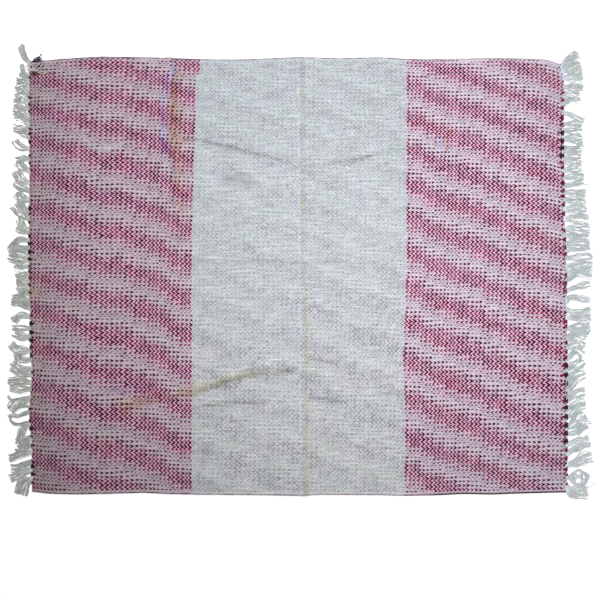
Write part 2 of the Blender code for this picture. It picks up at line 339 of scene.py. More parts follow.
zigzag = {
    # how far a line swings to each side, in columns, and its width there
    "reach": 0.37,
    "lineWidth": 0.266,
    "widthRange": (0.78, 1.18),
    "tipWidth": 0.1,
    "softness": 0.05,
    "lineSway": 0.1,
    # row of the first band, and by how much single stitches and whole rows stray in their band
    "firstBand": 1.9,
    "stitchStray": 0.03,
    "rowStray": 0.07,
    # rows by which the bands have dropped at each column
    "bandDrop": [
        (0, -6.6), (4.4, -5.1), (7.4, -4.4), (10, -3.2), (12.6, -2.45), (14.3, -1.5), (15.8, -0.35),
        (18.2, 0), (20.6, 0.5), (22.2, 1.15), (23.8, 1.7), (25.6, 2.2), (27.5, 2.95), (29.6, 3.8),
        (31.5, 4.9), (33.3, 6.1), (36.2, 7.15), (38.5, 7.4), (40.2, 7.8), (42, 8.5), (43.9, 9.3),
        (45.7, 10.2), (47.5, 11.2), (49.2, 12), (51, 13.4), (52.6, 14.6), (55.2, 15), (57.6, 15.5),
        (59.3, 16.2), (61.1, 17.3), (62.9, 17.8), (64.8, 18.8), (66.6, 19.9), (68.4, 20.9), (70.1, 21.6),
        (71.9, 22.9), (73.7, 23.7), (75.5, 23.9), (77.3, 24.4), (79.2, 25.1), (81.1, 25.8), (83, 27.2),
        (84.9, 28.7), (86.8, 29.1), (88.8, 30.2), (90.7, 31.6), (92.8, 32.4), (94.9, 32.6), (96.8, 33.4),
        (98.8, 34.2), (100.7, 34.6), (102.6, 35.4), (104.4, 36.5), (106.3, 37.25), (108.2, 38.05),
        (110, 39), (111.8, 40.3), (113.5, 40.7), (115.3, 41.2), (117, 42.1), (118.8, 42.9),
        (120.6, 43.2), (122, 43.8)
    ],
    # what shows of a line's turn at each place in the band, from and to: 1 is its right tip, -1 its left
    "shownFrom": [(0, 1.2), (0.03, 1.1), (0.13, 0.05), (0.26, -0.5), (0.36, -1.3), (1, -1.3)],
    "shownTo": [(0, 1.3), (0.6, 1.3), (0.65, 0.8), (0.76, 0.35), (0.89, -0.25), (0.95, -0.9), (1, -1.2)],
    "shownSoftness": (-0.1, 0.1),
    # how well the hidden right tips show through
    "showThrough": [(0, 1), (0.3, 1), (0.4, 0), (0.7, 0), (0.79, 0.3), (0.89, 0.8), (1, 1)],
    "faintRange": (0.6, 1.1),
    # where in the band it comes and where it goes again
    "presence": ((0.1, 0.4), (0.92, 0.64)),
    "dyed": ((0.2, 0.42), (0.82, 0.6)),
    # how far off its line a cell begins
    "cellEdge": (0.32, 0.43),
    "lineHeight": 0.6,
    "cellHeight": -0.25,
}


def makeZigzagGroup(values):
    # One zigzag yarn line runs down each column. A band shows the line's right tips first, then whole
    # zigzags, then only its left tips, and the bands drop from column to column.
    tree, into = startGroup("zigzag_columns", {
        "Column": 0.0, "Row": 0.0, "Rows a band": 8.0, "Reach": values["reach"],
        "Line width": values["lineWidth"], "Softness": values["softness"]})
    rowNumber = calc("FLOOR", into["Row"])
    # 1 at the right tips, -1 at the left ones
    turn = 1 - abs((into["Row"] - rowNumber) * 4 - 2)
    tipShare = abs(turn) ** 3

    # the nearest line across, its number and how far off it is
    lines = into["Column"] - 0.5 - turn * into["Reach"]
    lineNumber = calc("ROUND", lines)
    chance = cellRandom(lineNumber, rowNumber, 3.0)
    otherChance = cellRandom(lineNumber, rowNumber, 11.0)
    aside = abs(lines - lineNumber + (otherChance - 0.5) * values["lineSway"])

    # where this stitch stands in its band, 0.5 in the middle; the bands drop by whole rows
    drop = calc("ROUND", readChart(lineNumber + 0.5, values["bandDrop"]))
    bands = (rowNumber - values["firstBand"] - drop) / into["Rows a band"] + 0.5
    rowChance = cellRandom(calc("FLOOR", bands), rowNumber, 5.0)
    inBand = calc("FRACT", bands) + ((chance - 0.5) * values["stitchStray"]
                                     + (rowChance - 0.5) * values["rowStray"])
    shown = (easeIn(turn - readChart(inBand, values["shownFrom"]), *values["shownSoftness"])
             * easeIn(readChart(inBand, values["shownTo"]) - turn, *values["shownSoftness"]))
    presence, dyed = (easeIn(inBand, *comes) * easeIn(inBand, *goes)
                      for comes, goes in (values["presence"], values["dyed"]))

    width = into["Line width"] + tipShare * remap(turn, -0.5, 0.5, 0.0, values["tipWidth"])
    width = width * between(chance, *values["widthRange"])
    drawn = easeIn(aside, width + into["Softness"], width - into["Softness"])
    line = drawn * shown
    cell = easeIn(aside, *values["cellEdge"]) * (presence * remap(tipShare, 0.0, 0.8, 0.45, 1.0))
    faint = drawn * (1 - shown) * (between(otherChance, *values["faintRange"])
                                   * remap(turn, -0.15, 0.35, 0.1, 1.0))
    return finishGroup(tree, {
        "Line": line,
        "Tip": line * calc("MAXIMUM", remap(turn, 0.0, 0.9), remap(turn, -0.2, -0.9, 0.0, 0.5)),
        "Cell": cell,
        "Faint line": faint * readChart(inBand, values["showThrough"]),
        "Presence": presence,
        # where the weft's own dye shows, between the whole zigzags
        "Dyed": dyed * remap(turn, 0.6, -0.6, 0.6, 1.0),
        "Chance": chance,
        "Height": drawn * values["lineHeight"] + cell * values["cellHeight"]})


def makeYarnGrainGroup():
    # plain weave of single yarns: warp along the column numbers, weft along the row numbers
    tree, into = startGroup("yarn_grain", {"Warp": 0.0, "Weft": 0.0, "Unevenness": 0.0})
    warp, weft = (calc("SINE", (into[name] + into["Unevenness"] * 0.6) * math.pi)
                  for name in ("Warp", "Weft"))
    height = warp * weft * 0.35 + (abs(warp) * abs(weft)) ** 0.5
    return finishGroup(tree, {"Height": height, "Shade": remap(height, 0.0, 1.2)})


def makeTwistedYarnGroup():
    # the plies of a loosely twisted yarn, from the place round it and the length along it
    tree, into = startGroup("twisted_yarn", {"Around": 0.0, "Along": 0.0, "Turns": 18.0, "Plies": 3.0})
    wave = abs(calc("SINE", (into["Around"] * into["Plies"] + into["Along"] * into["Turns"]) * math.pi))
    return finishGroup(tree, {"Height": wave, "Shade": easeIn(wave, 0.0, 0.6)})


zigzagGroup = makeZigzagGroup(zigzag)
yarnGrainGroup = makeYarnGrainGroup()
twistedYarnGroup = makeTwistedYarnGroup()
print("shader groups made")


# The cloth.

clothSheet = {
    "thickness": 2.1,
    "underside": 0.25,
    "flatSize": (1530, 1250),
    "columns": 122,
    "rows": 100.5,
    # about the width of a column and the height of a row
    "stitch": 12,
    # from this column or row on, points lie this many columns or rows apart
    "columnSteps": [
        (0, 0.15), (0.3, 0.35), (1, 0.66), (28.7, 0.33), (36, 0.64), (58.4, 0.3), (62.6, 0.66),
        (121, 0.35), (121.7, 0.15)
    ],
    "rowSteps": [
        (0, 0.12), (0.36, 0.32), (1, 0.7), (19.8, 0.38), (27, 0.7), (47.4, 0.4), (50.8, 0.7), (70, 0.4),
        (82, 0.7), (99.5, 0.32), (100.14, 0.12)
    ],
    # x of the columns
    "columnPlaces": [
        (0, -765), (3.03, -733.3), (6.16, -699), (8.97, -664.7), (11.56, -630.4), (14.1, -596.1),
        (17, -553.2), (20, -510.3), (23.58, -458.9), (26.25, -424.6), (29.31, -390.3), (32.18, -356),
        (34.94, -321.6), (37, -297.3), (44.31, -204.4), (51.38, -112.9), (58.04, -21.4), (61, 17.7),
        (67.04, 92.9), (74.11, 184.4), (81.54, 275.9), (84, 305.9), (90.97, 387.4), (97.09, 456),
        (102.8, 524.6), (108.38, 593.2), (112, 639), (117.6, 713.3), (122, 765)
    ],
    # how far a column leans off that place, by y
    "columnLeans": [
        (0, [(-612, 6.5), (-525, 6), (-439, 2.5), (-397, -2.5), (-311, 3), (-268, 7), (-225, 1.5),
             (-96, 1.5), (-68, -2.5), (104, -2.5), (304, -1), (504, -2.5), (611, -2)]),
        (17, [(-625, 0), (625, 0)]),
        (37, [(-622, 0.8), (-583, -4.3), (132, -4.3), (460, 7.1), (600, 7.1)]),
        (61, [(-622, 5.2), (620, -4.8)]),
        (84, [(-622, -0.3), (-354, -0.3), (-239, -5.4), (-153, -2), (47, 5.2), (620, 5.2)]),
        (112, [(-625, 0), (625, 0)]),
        (122, [(-612, 5), (-182, 5), (-68, 3.5), (47, 3.5), (147, -1.5), (261, -3.5), (332, -6),
               (504, -6), (553, -1.5), (570, -6), (602.5, -10)]),
    ],
    # share of the way from the upper to the lower selvedge
    "rowPlaces": [
        (0, 0), (2.4, 0.0218), (10.4, 0.0928), (18.4, 0.1661), (26.4, 0.2417), (34.4, 0.3219),
        (42.4, 0.3998), (50.4, 0.48), (58.4, 0.5578), (66.4, 0.6403), (74.4, 0.7274), (82.4, 0.8167),
        (90.4, 0.9015), (98.4, 0.9794), (100.5, 1)
    ],
    # how far each selvedge bows out of the straight
    "upperSelvedge": [
        (-767, -12), (-722, -8), (-636, -1), (-559, 3.5), (-422, 0.5), (-279, -4.5), (-164, -5.5),
        (7, 1.5), (121, -2), (236, 1), (310, -4.5), (456, -3.5), (585, -1), (693, -4), (725, -6.5),
        (748, -15), (755, -21)
    ],
    "lowerSelvedge": [
        (-758, -10), (-730, -4.5), (-633, -1.5), (-522, -4), (-439, -6.5), (-376, -3), (-279, -1),
        (-119, 0.5), (13, 2.5), (59, -0.5), (233, 0.5), (293, 2.5), (402, 1), (476, -3), (548, -1),
        (622, -3.5), (763, -7.5)
    ],
    "smoothing": 18,
    # height, place and width of the thicker selvedge, in from the edge
    "selvedgeRoll": (0.7, 3.0, 3),
    # share of the thickness at the very edge, what is added further in, and over which width
    "edge": (0.45, 0.55, 2.5),
    "unevenness": (0.8, 260),
    "sway": (1.6, 190),
    # this many columns or rows by the edge don't sway
    "calmEdge": 4,
    "creaseWander": (1.4, 90),
    "wrinkleBend": 0.9,
    "wrinkleSharpness": 2.5,
    # height, half width, sharpness of the crest, then x, y and share of the height along it
    "creases": {
        "centre fold": (4.0, 13, 0.75, [
            (6, 710, 1), (9, 361, 0.7), (11, 75, 1), (14, -211, 0.8), (17, -710, 1)]),
        "upper left ridge": (8.0, 20, 0.3, [
            (-362, 710, 1), (-366, 420, 0.75), (-363, 218, 1), (-352, 118, 0.7), (-341, 60, 0.5)]),
        "cross fold": (2.5, 10, 0.5, [(-312, 42, 0.6), (-120, 44, 1), (138, 41, 0.7)]),
        "upper left crease": (3.5, 10, 0.5, [
            (-296, 392, 0.6), (-193, 374, 1), (-124, 352, 0.8), (-86, 333, 0.6)]),
        "upper right crease": (3.0, 10, 0.5, [
            (312, 364, 0.5), (207, 338, 0.9), (141, 325, 1), (34, 314, 0.7)]),
        "long diagonal": (7.0, 21, 0.4, [
            (-520, -378, 0.5), (-413, -342, 0.8), (-310, -325, 0.65), (-219, -299, 1), (-90, -256, 0.9),
            (14, -243, 0.6)]),
        "short diagonal": (4.0, 9, 0.5, [(-146, -302, 0.6), (-80, -288, 1), (-10, -270, 0.8)]),
        "low left crease": (3.0, 12, 0.5, [(-295, -375, 0.7), (-195, -360, 1), (-97, -351, 0.6)]),
        "crease right of the fold": (3.0, 10, 0.5, [(34, -229, 0.8), (80, -240, 1), (126, -257, 0.6)]),
        "low right crease": (2.5, 10, 0.5, [(36, -341, 0.7), (90, -352, 1), (138, -360, 0.8)]),
        "low right end": (2.5, 9, 0.5, [(222, -333, 0.6), (262, -337, 1), (302, -339, 0.6)]),
        "fold in the left end": (3.0, 9, 0.6, [
            (-650, 450, 0.5), (-599, 381, 0.9), (-565, 358, 1), (-530, 364, 0.9), (-480, 386, 0.5)]),
        "right band dent": (2.5, 9, 0.5, [(429, 402, 0.6), (420, 380, 1), (411, 352, 0.7)]),
    },
    "creaseFade": 60,
    # middle, size, tilt in degrees, length of a wave and height of the long shallow wrinkles
    "wrinkles": [
        ((-120, -300), (260, 150), 8, 26, 1.1),
        ((60, -300), (160, 110), -6, 24, 0.9),
        ((-180, 300), (260, 130), -12, 30, 1.0),
        ((150, 300), (200, 110), 8, 28, 0.9),
        ((-520, -330), (200, 130), 12, 30, 1.2),
        ((-430, 330), (140, 260), 80, 34, 1.0),
        ((430, 360), (130, 120), 60, 30, 0.8),
        ((-20, 60), (420, 90), 1, 32, 0.6),
        ((600, -100), (120, 420), 88, 36, 0.6),
    ],
}


def gradedSteps(steps, end):
    values = []
    for (start, step), (stop, _) in zip(steps, steps[1:] + [(end, 0)]):
        count = max(1, round((stop - start) / step))
        values += [start + (stop - start) * index / count for index in range(count)]
    return np.array(values + [end])


def clothPlaces(values, columns, rows):
    # x and y in millimetres of the threads' crossings
    smoothing, calm, half = values["smoothing"], values["calmEdge"], values["flatSize"][1] / 2
    x = readTable(values["columnPlaces"], columns)
    top = half + softTable(values["upperSelvedge"], x, smoothing)
    bottom = -half - softTable(values["lowerSelvedge"], x, smoothing)
    y = top - readTable(values["rowPlaces"], rows) * (top - bottom)
    lean = np.zeros_like(x)
    for (first, leans), (second, nextLeans) in zip(values["columnLeans"], values["columnLeans"][1:]):
        share = (columns - first) / (second - first)
        mixed = (1 - share) * softTable(leans, y, smoothing) + share * softTable(nextLeans, y, smoothing)
        lean = np.where((share >= 0) & (share <= 1), mixed, lean)
    inner = (easedShare(np.minimum(columns, values["columns"] - columns) / calm)
             * easedShare(np.minimum(rows, values["rows"] - rows) / calm))
    amount, length = values["sway"]
    x = x + lean + inner * amount * gentleWaves(x, y, length, 5)
    y = y + inner * amount * gentleWaves(x, y, length, 8)
    return x, y


def alongLine(line, x, y):
    # signed distance from a line of (x, y, share) points, the share there and the length run so far
    best = np.full_like(x, 1e9)
    signed, shares, run = np.zeros_like(x), np.zeros_like(x), np.zeros_like(x)
    start = 0.0
    for (x0, y0, s0), (x1, y1, s1) in zip(line, line[1:]):
        dx, dy = x1 - x0, y1 - y0
        length = math.hypot(dx, dy)
        part = np.clip(((x - x0) * dx + (y - y0) * dy) / length ** 2, 0, 1)
        offX, offY = x - x0 - part * dx, y - y0 - part * dy
        away = np.hypot(offX, offY)
        closer = away < best
        best = np.where(closer, away, best)
        signed = np.where(closer, np.sign(offX * dy - offY * dx) * away, signed)
        shares = np.where(closer, s0 + (s1 - s0) * easedShare(part), shares)
        run = np.where(closer, start + part * length, run)
        start += length
    return signed, shares, run, start


def wrinkleLift(values, x, y):
    # ridges side by side in oval patches, bent and broken by slow waves
    lift = np.zeros_like(x)
    for (midX, midY), (long, wide), tilt, wave, height in values["wrinkles"]:
        turn = math.radians(tilt)
        along = (x - midX) * math.cos(turn) + (y - midY) * math.sin(turn)
        across = (y - midY) * math.cos(turn) - (x - midX) * math.sin(turn)
        patch = np.exp(-(along / long) ** 2 - (across / wide) ** 2)
        bend = values["wrinkleBend"] * wave * gentleWaves(x, y, 5 * wave, int(abs(midX)) + 3)
        ridges = (0.5 + 0.5 * np.cos((across + bend) * 2 * math.pi / wave)) ** values["wrinkleSharpness"]
        broken = np.clip(0.5 + gentleWaves(along, across * 3, 9 * wave, int(abs(midY)) + 40), 0, 1)
        lift += height * patch * ridges * broken
    return lift


def creaseLift(values, x, y):
    lift = np.zeros_like(x)
    amount, length = values["creaseWander"]
    for height, halfWidth, sharpness, line in values["creases"].values():
        wander = amount * gentleWaves(x, y, length, 31)
        away, share, run, whole = alongLine(line, x + wander, y + wander)
        away = np.clip(np.abs(away) / halfWidth, 0, 1)
        soft = (1 + np.cos(math.pi * away)) / 2
        sharp = (1 - away) ** 1.6
        fade = easedShare(run / values["creaseFade"]) * easedShare((whole - run) / values["creaseFade"])
        lift = np.maximum(lift, height * share * fade * (soft + (sharp - soft) * sharpness))
    return lift


# Tan tints along the folds and the ends, painted highlights and painted violet light on the folds' lit
# sides, and painted shade along the creases, drawn as lines: half width, strength, then x, y and share
# along each.
clothMarks = {
    # tan tints along the folds, the long diagonal and the left end
    "tan": {
        "centre fold": (5.6, 0.85, [
            (14.5, 618, 0.6), (15, 440, 0.4), (15, 318, 0.6), (14, 190, 0.75), (15, 72, 0.4),
            (22, -45, 0.6), (23.5, -168, 1), (22, -290, 0.8), (23.5, -410, 0.9), (24.5, -528, 1),
            (24, -620, 0.8)]),
        "upper left ridge": (10, 1.0, [
            (-338, 592, 0.5), (-346, 560, 0.9), (-352, 510, 1), (-352, 470, 1), (-356, 432, 1),
            (-349, 401, 0.9), (-345, 333, 0.8), (-340, 247, 0.6), (-334, 175, 0.45), (-330, 118, 0.3)]),
        "ridge, wide part": (23, 0.9, [
            (-353, 502, 0.5), (-357, 472, 1), (-357, 436, 1), (-352, 405, 0.65), (-346, 380, 0.8),
            (-346, 345, 0.8), (-342, 320, 0.2)]),
        "ridge, low part": (14, 0.75, [(-346, 380, 0.3), (-346, 360, 1), (-344, 335, 1), (-340, 310, 0.4)]),
        "long diagonal, wide part": (21, 0.95, [
            (-335, -340, 0.4), (-304, -330, 0.9), (-270, -316, 1), (-230, -300, 0.9), (-180, -286, 0.5),
            (-120, -272, 0.3)]),
        "long diagonal, left end": (17, 1.0, [
            (-512, -384, 0.5), (-487, -374, 1), (-450, -356, 1), (-418, -342, 0.8)]),
        "long diagonal": (11, 0.85, [
            (-5, -264, 0.35), (-60, -273, 0.6), (-120, -281, 0.7), (-167, -288, 0.8), (-204, -297, 0.8),
            (-240, -305, 1), (-276, -322, 1), (-304, -334, 0.8), (-323, -336, 0.6), (-351, -345, 0.6),
            (-393, -337, 0.7), (-422, -351, 0.7), (-446, -358, 0.8), (-479, -362, 0.8), (-490, -379, 0.4)]),
        "left end": (12, 0.95, [
            (-766, 606, 0.4), (-766, 420, 0.5), (-766, 280, 0.8), (-769, 120, 1), (-766, 20, 0.6),
            (-764, -50, 1), (-766, -200, 0.6), (-764, -360, 1), (-762, -500, 0.7), (-760, -600, 0.5)]),
        "left end patch": (13, 0.6, [(-767, -51, 1), (-740, -45, 0.8)]),
        "right band dent": (9, 0.6, [(432, 425, 0.5), (430, 402, 1), (424, 380, 0.8), (420, 340, 0.3)]),
    },
    # pale: a painted bluish highlight on the lit side of the folds
    "pale": {
        "centre fold": (5.4, 0.42, [
            (1.0, 618, 0.7), (2.0, 275, 1), (2.5, 190, 1), (5.5, 60, 0.8), (8.0, -250, 1),
            (8.0, -528, 1), (8.0, -620, 0.8)]),
        "right band dent": (5, 0.7, [
            (398, 425, 0.4), (410, 380, 1), (412, 345, 1), (404, 300, 0.6), (396, 240, 0.5)]),
        "upper left ridge": (8, 0.95, [
            (-355, 606, 0.9), (-352, 590, 1), (-364, 565, 0.7), (-374, 544, 0.9), (-383, 530, 0.6),
            (-382, 493, 1), (-384, 462, 0.5), (-385, 445, 0.4), (-383, 425, 0.9), (-383, 402, 1),
            (-380, 378, 0.3), (-374, 330, 0.4)]),
        "below the long diagonal": (7, 0.7, [(-180, -315, 0.5), (-252, -329, 1), (-287, -346, 0.6)]),
        "above the long diagonal": (9, 0.7, [(-182, -254, 0.7), (-276, -301, 1)]),
    },
    # light: a painted highlight along the fold in the left end
    "light": {
        "fold in the left end": (4, 0.75, [
            (-640, 436, 0.5), (-599, 381, 0.9), (-565, 358, 1), (-530, 364, 1), (-487, 384, 0.5)]),
    },
    # painted shade along the creases and beside them
    "paintedCreaseShade": {
        "upper left crease": (4.5, 0.9, [
            (-320, 391, 0.8), (-286, 390, 0.9), (-254, 383, 0.7), (-207, 374, 0.8), (-171, 365, 1),
            (-136, 355, 0.9), (-93, 345, 0.7), (-50, 332, 0.6), (0, 312, 0.2)]),
        "shade on that crease": (12, 0.4, [
            (-244, 380, 0.3), (-207, 372, 1), (-164, 362, 1), (-120, 346, 0.6), (-80, 338, 0.3)]),
        "shade below it": (16, 0.45, [(-208, 292, 0.4), (-179, 282, 1), (-130, 261, 0.6)]),
        "upper right crease": (4.5, 0.9, [
            (36, 315, 0.3), (93, 324, 0.6), (150, 330, 1), (193, 340, 1), (236, 352, 0.8),
            (307, 362, 0.4)]),
        "faint one below that": (4, 0.4, [(193, 301, 0.4), (260, 299, 1), (307, 298, 0.7)]),
        "cross fold": (4.5, 0.45, [(-312, 42, 0.6), (-120, 44, 1), (138, 41, 0.7)]),
        "long diagonal": (7, 0.55, [
            (-304, -340, 0.5), (-250, -318, 0.9), (-213, -300, 1), (-156, -288, 0.8), (-116, -280, 0.8),
            (-59, -277, 0.6), (-2, -261, 0.4)]),
        "upper branch": (6, 0.5, [(-170, -278, 0.4), (-130, -264, 1), (-95, -256, 0.6)]),
        "short diagonal": (5, 0.7, [(-99, -281, 0.6), (-70, -277, 1), (-30, -270, 1), (-2, -264, 0.5)]),
        "low left crease": (7, 0.7, [(-290, -372, 0.5), (-193, -360, 1), (-99, -359, 0.8)]),
        "crease right of the fold": (4, 0.75, [
            (27, -233, 1), (60, -238, 1), (93, -248, 0.7), (126, -257, 0.4)]),
        "low right crease": (4.5, 0.8, [(30, -343, 0.9), (90, -352, 1), (138, -360, 0.8)]),
        "low right end": (4, 0.5, [(222, -333, 0.6), (262, -337, 1), (302, -339, 0.6)]),
    },
    # painted violet light beside the painted highlights on the folds
    "violet": {
        "by the upper left ridge": (8, 0.6, [(-372, 575, 0.6), (-368, 545, 1), (-376, 520, 0.5)]),
        "by that ridge, lower": (8.5, 1.15, [(-388, 478, 0.5), (-384, 452, 1), (-374, 432, 0.6)]),
        "by that ridge, lowest": (9, 0.9, [(-394, 392, 0.5), (-376, 372, 1), (-360, 348, 0.7)]),
        "above the long diagonal": (14, 0.5, [(-421, -330, 0.8), (-520, -325, 1)]),
    },
}


def markStrength(lines, x, y):
    total = np.zeros_like(x)
    for halfWidth, strength, line in lines.values():
        away, share, _, _ = alongLine(line, x, y)
        total = np.maximum(total, strength * share * np.exp(-(away / halfWidth) ** 2))
    return total


# The pattern and the colours of the cloth.
weave = {
    "rowsPerBand": 8,
    # the columns where the middle begins and ends; the left end is one wider over the first rows
    "leftZoneEnds": 37,
    "rightZoneStarts": 84,
    "jogRows": 4,
    # rows in from the selvedge over which the zigzags begin
    "bodyRows": (0.65, 0.85),
    # rows over which the middle turns to its low colour and its zigzags to clearer ones
    "middleRows": (15.0, 85.0, 0.0, 0.7),
    "clearRows": (45.0, 75.0, 1.0, 1.5),
    # the stretch of the cloth over which the left end's colours turn to the right end's
    "acrossSpan": (0.15, 0.85),
    # painted shade of the light falling off, darker at the ends and over the lower half: by x, then by y
    "falloffAcross": [
        (-765, 0.775), (-696, 0.82), (-579, 0.895), (-465, 0.92), (-356, 0.945), (-247, 0.965),
        (-144, 0.985), (-47, 1), (53, 1.01), (156, 1.025), (256, 1.025), (365, 1.015), (479, 1),
        (593, 0.995), (708, 0.969), (765, 0.944)
    ],
    "falloffDown": [
        (-620, 0.8), (-568, 0.812), (-482, 0.832), (-382, 0.85), (-268, 0.865), (-154, 0.875),
        (-39, 0.88), (190, 0.88), (304, 0.875), (418, 0.865), (538, 0.86), (590, 0.855)
    ],
    "falloffDownLeftEnd": [(-620, 0.97), (-400, 0.98), (-200, 0.995), (620, 0.995)],
    "falloffDownRightEnd": [(-620, 0.98), (-400, 0.985), (-150, 1.0), (150, 1.005), (350, 1.02), (620, 1.03)],
    "falloffSmoothing": 60,
    "falloffPower": 2.2,
    # x from which each end's own painted falloff counts, and over which width it comes in
    "toneEnds": (280, 60),
    # the left end's ground is darker than the right end's: partly its own colour, partly painted shade of
    # the light falling off to the left
    "groundLeft": colour(215, 198, 206),
    "groundRight": colour(228, 213, 229),
    "groundMiddle": colour(207, 215, 218),
    "groundMiddleLow": colour(214, 215, 215),
    "blush": colour(228, 158, 194),
    "middleBand": colour(192, 193, 197),
    "line": colour(138, 0, 74),
    "lineDeep": colour(94, 0, 50),
    "lineRed": colour(158, 8, 46),
    "lineTan": colour(128, 34, 30),
    "lineViolet": colour(120, 8, 116),
    "tipLeft": colour(34, 0, 22),
    "tipRight": colour(46, 0, 28),
    "cell": colour(253, 196, 227),
    "faintLine": colour(92, 26, 62),
    "middleLine": colour(130, 129, 133),
    "middleFaint": colour(142, 147, 152),
    "middleCell": colour(224, 228, 235),
    "selvedge": colour(112, 34, 68),
    "selvedgeMiddle": colour(150, 128, 134),
    "selvedgeDark": colour(56, 14, 34),
    # the next colours: tan tints the folds; the pale, light and violet ones and the cool cast are painted
    # highlights and painted light on the folds' lit sides; the grey one is painted shade along the creases
    "tan": colour(248, 221, 197),
    "tanMiddle": colour(242, 231, 199),
    "tanGround": colour(207, 181, 160),
    "pale": colour(210, 222, 252),
    "light": colour(222, 219, 224),
    "paintedHighlightCast": (0.85, 0.97, 1.25),
    "violet": colour(206, 166, 222),
    "paintedCreaseShade": colour(172, 171, 170),
    "violetTint": (1.03, 1.01, 1.055),
    "greenTint": (1.01, 1.035, 1.025),
    "fleckWarm": (1.05, 0.975, 1.02),
    "fleckCool": (0.965, 1.035, 1.0),
    "yarnsPerColumn": 6,
    "yarnsPerRow": 6,
    "zigzagRelief": 0.55,
    "yarnRelief": 0.28,
    "roughness": (0.97, 0.87),
    "specular": 0.2,
    "sheen": 0.08,
    "bump": 0.6,
    # by how much the threads wander, in columns and rows, and the scales of that
    "wander": 0.22,
    "wanderScales": (55, 71),
    # scale and detail of each noise, the span of it that counts, and what the ends of the span give
    "noises": {
        "patchy": (30, 3, 0.35, 0.65, 0.45, 1.0),
        "broken": (85, 2, 0.35, 0.62, 0.45, 1.0),
        "middleBlotch": (9, 3, 0.35, 0.65, 0.0, 0.3),
        "redder": (13, 2, 0.5, 0.66, 0.0, 0.6),
        "clearness": (6, 2, 0.35, 0.65, 0.7, 1.15),
        "selvedgeDye": (45, 3, 0.38, 0.6, 0.25, 0.95),
        "tint": (15, 2, 0.38, 0.62, 0.0, 1.0),
        "fleck": (270, 1, 0.38, 0.62, 0.0, 1.0),
        "grit": (160, 2, 0.3, 0.7, 0.9, 1.08),
        "speckle": (330, 1, 0.35, 0.65, 0.81, 1.18),
        "middleSpeckle": (330, 1, 0.35, 0.65, 0.775, 1.265),
    },
    # the thick and thin places in the weft are long across the cloth and one yarn high
    "slubStretch": (17.0, 175.0, 1.0),
    "slubDye": (0.35, 0.6, 0.45, 1.0),
    "slubShade": (0.34, 0.64, 0.94, 1.06),
    "middleSlubShade": (0.34, 0.64, 0.86, 1.13),
    "yarnShade": (0.92, 1.1),
    # how strongly each layer covers those under it; of two numbers, the left and the right end
    "blushShare": (1.0, 0.8),
    "tanGroundShare": 0.45,
    "paintedHighlightShare": 0.75,
    "faintShare": 0.85,
    "cellShare": (0.78, 0.95),
    "tipShare": 0.95,
    "middleFaintShare": 0.6,
    "middleCellShare": 0.7,
    # the same in the middle, where two numbers are the least and the most
    "middleLineShare": (0.15, 0.45),
    "middleBandShare": (0.28, 0.62),
    "fleckShare": (0.5, 1.0),
    # the selvedge yarn: rows over which it ends, where it turns dark at the right, how much of it is
    # left there, and the line along the lower edge
    "selvedgeRows": (0.4, 0.26),
    "rightSelvedge": (0.7, 0.76),
    "rightSelvedgeShare": (1.0, 0.5),
    "lowerLineRows": (0.4, 0.16, 0.24),
    "lowerLineShare": (0.5, 1.0),
}


def meshFromGrid(name, corners, threads, marks):
    # a closed slab: corners[side][column, row] are the points of its upper and lower faces
    width, depth = threads.shape[:2]
    points = np.concatenate([side.reshape(-1, 3) for side in corners])
    number = np.arange(width * depth).reshape(width, depth)
    under = number + width * depth
    upper = np.stack([number[:-1, :-1], number[:-1, 1:], number[1:, 1:], number[1:, :-1]], -1)
    lower = np.stack([under[:-1, :-1], under[1:, :-1], under[1:, 1:], under[:-1, 1:]], -1)
    faces = [upper.reshape(-1, 4), lower.reshape(-1, 4)]
    rim = np.concatenate([number[:, 0], number[-1, 1:], number[-2::-1, -1], number[0, -2:0:-1]])
    nextRim = np.roll(rim, -1)
    faces.append(np.stack([rim, nextRim, nextRim + width * depth, rim + width * depth], -1))
    faces = np.concatenate(faces)
    mesh = bpy.data.meshes.new(name)
    mesh.from_pydata(points.tolist(), [], faces.tolist())
    corner = faces.reshape(-1) % (width * depth)
    uv = mesh.uv_layers.new(name="threads")
    uv.data.foreach_set("uv", threads.reshape(-1, 2)[corner].astype(np.float32).reshape(-1))
    for label, strengths in marks.items():
        layer = mesh.attributes.new(label, "FLOAT", "POINT")
        layer.data.foreach_set("value", np.tile(strengths.reshape(-1), 2).astype(np.float32))
    mesh.shade_smooth()
    return mesh


# painted shade of the light falling off towards the ends and the lower half
def paintedLightFalloff(values, x, y):
    smoothing, (start, width) = values["falloffSmoothing"], values["toneEnds"]
    tone = softTable(values["falloffAcross"], x, smoothing) * softTable(values["falloffDown"], y, smoothing)
    for side, name in ((-1, "falloffDownLeftEnd"), (1, "falloffDownRightEnd")):
        endShare = easedShare((side * x - start) / width)
        tone *= 1 + endShare * (softTable(values[name], y, smoothing) - 1)
    return tone ** values["falloffPower"]


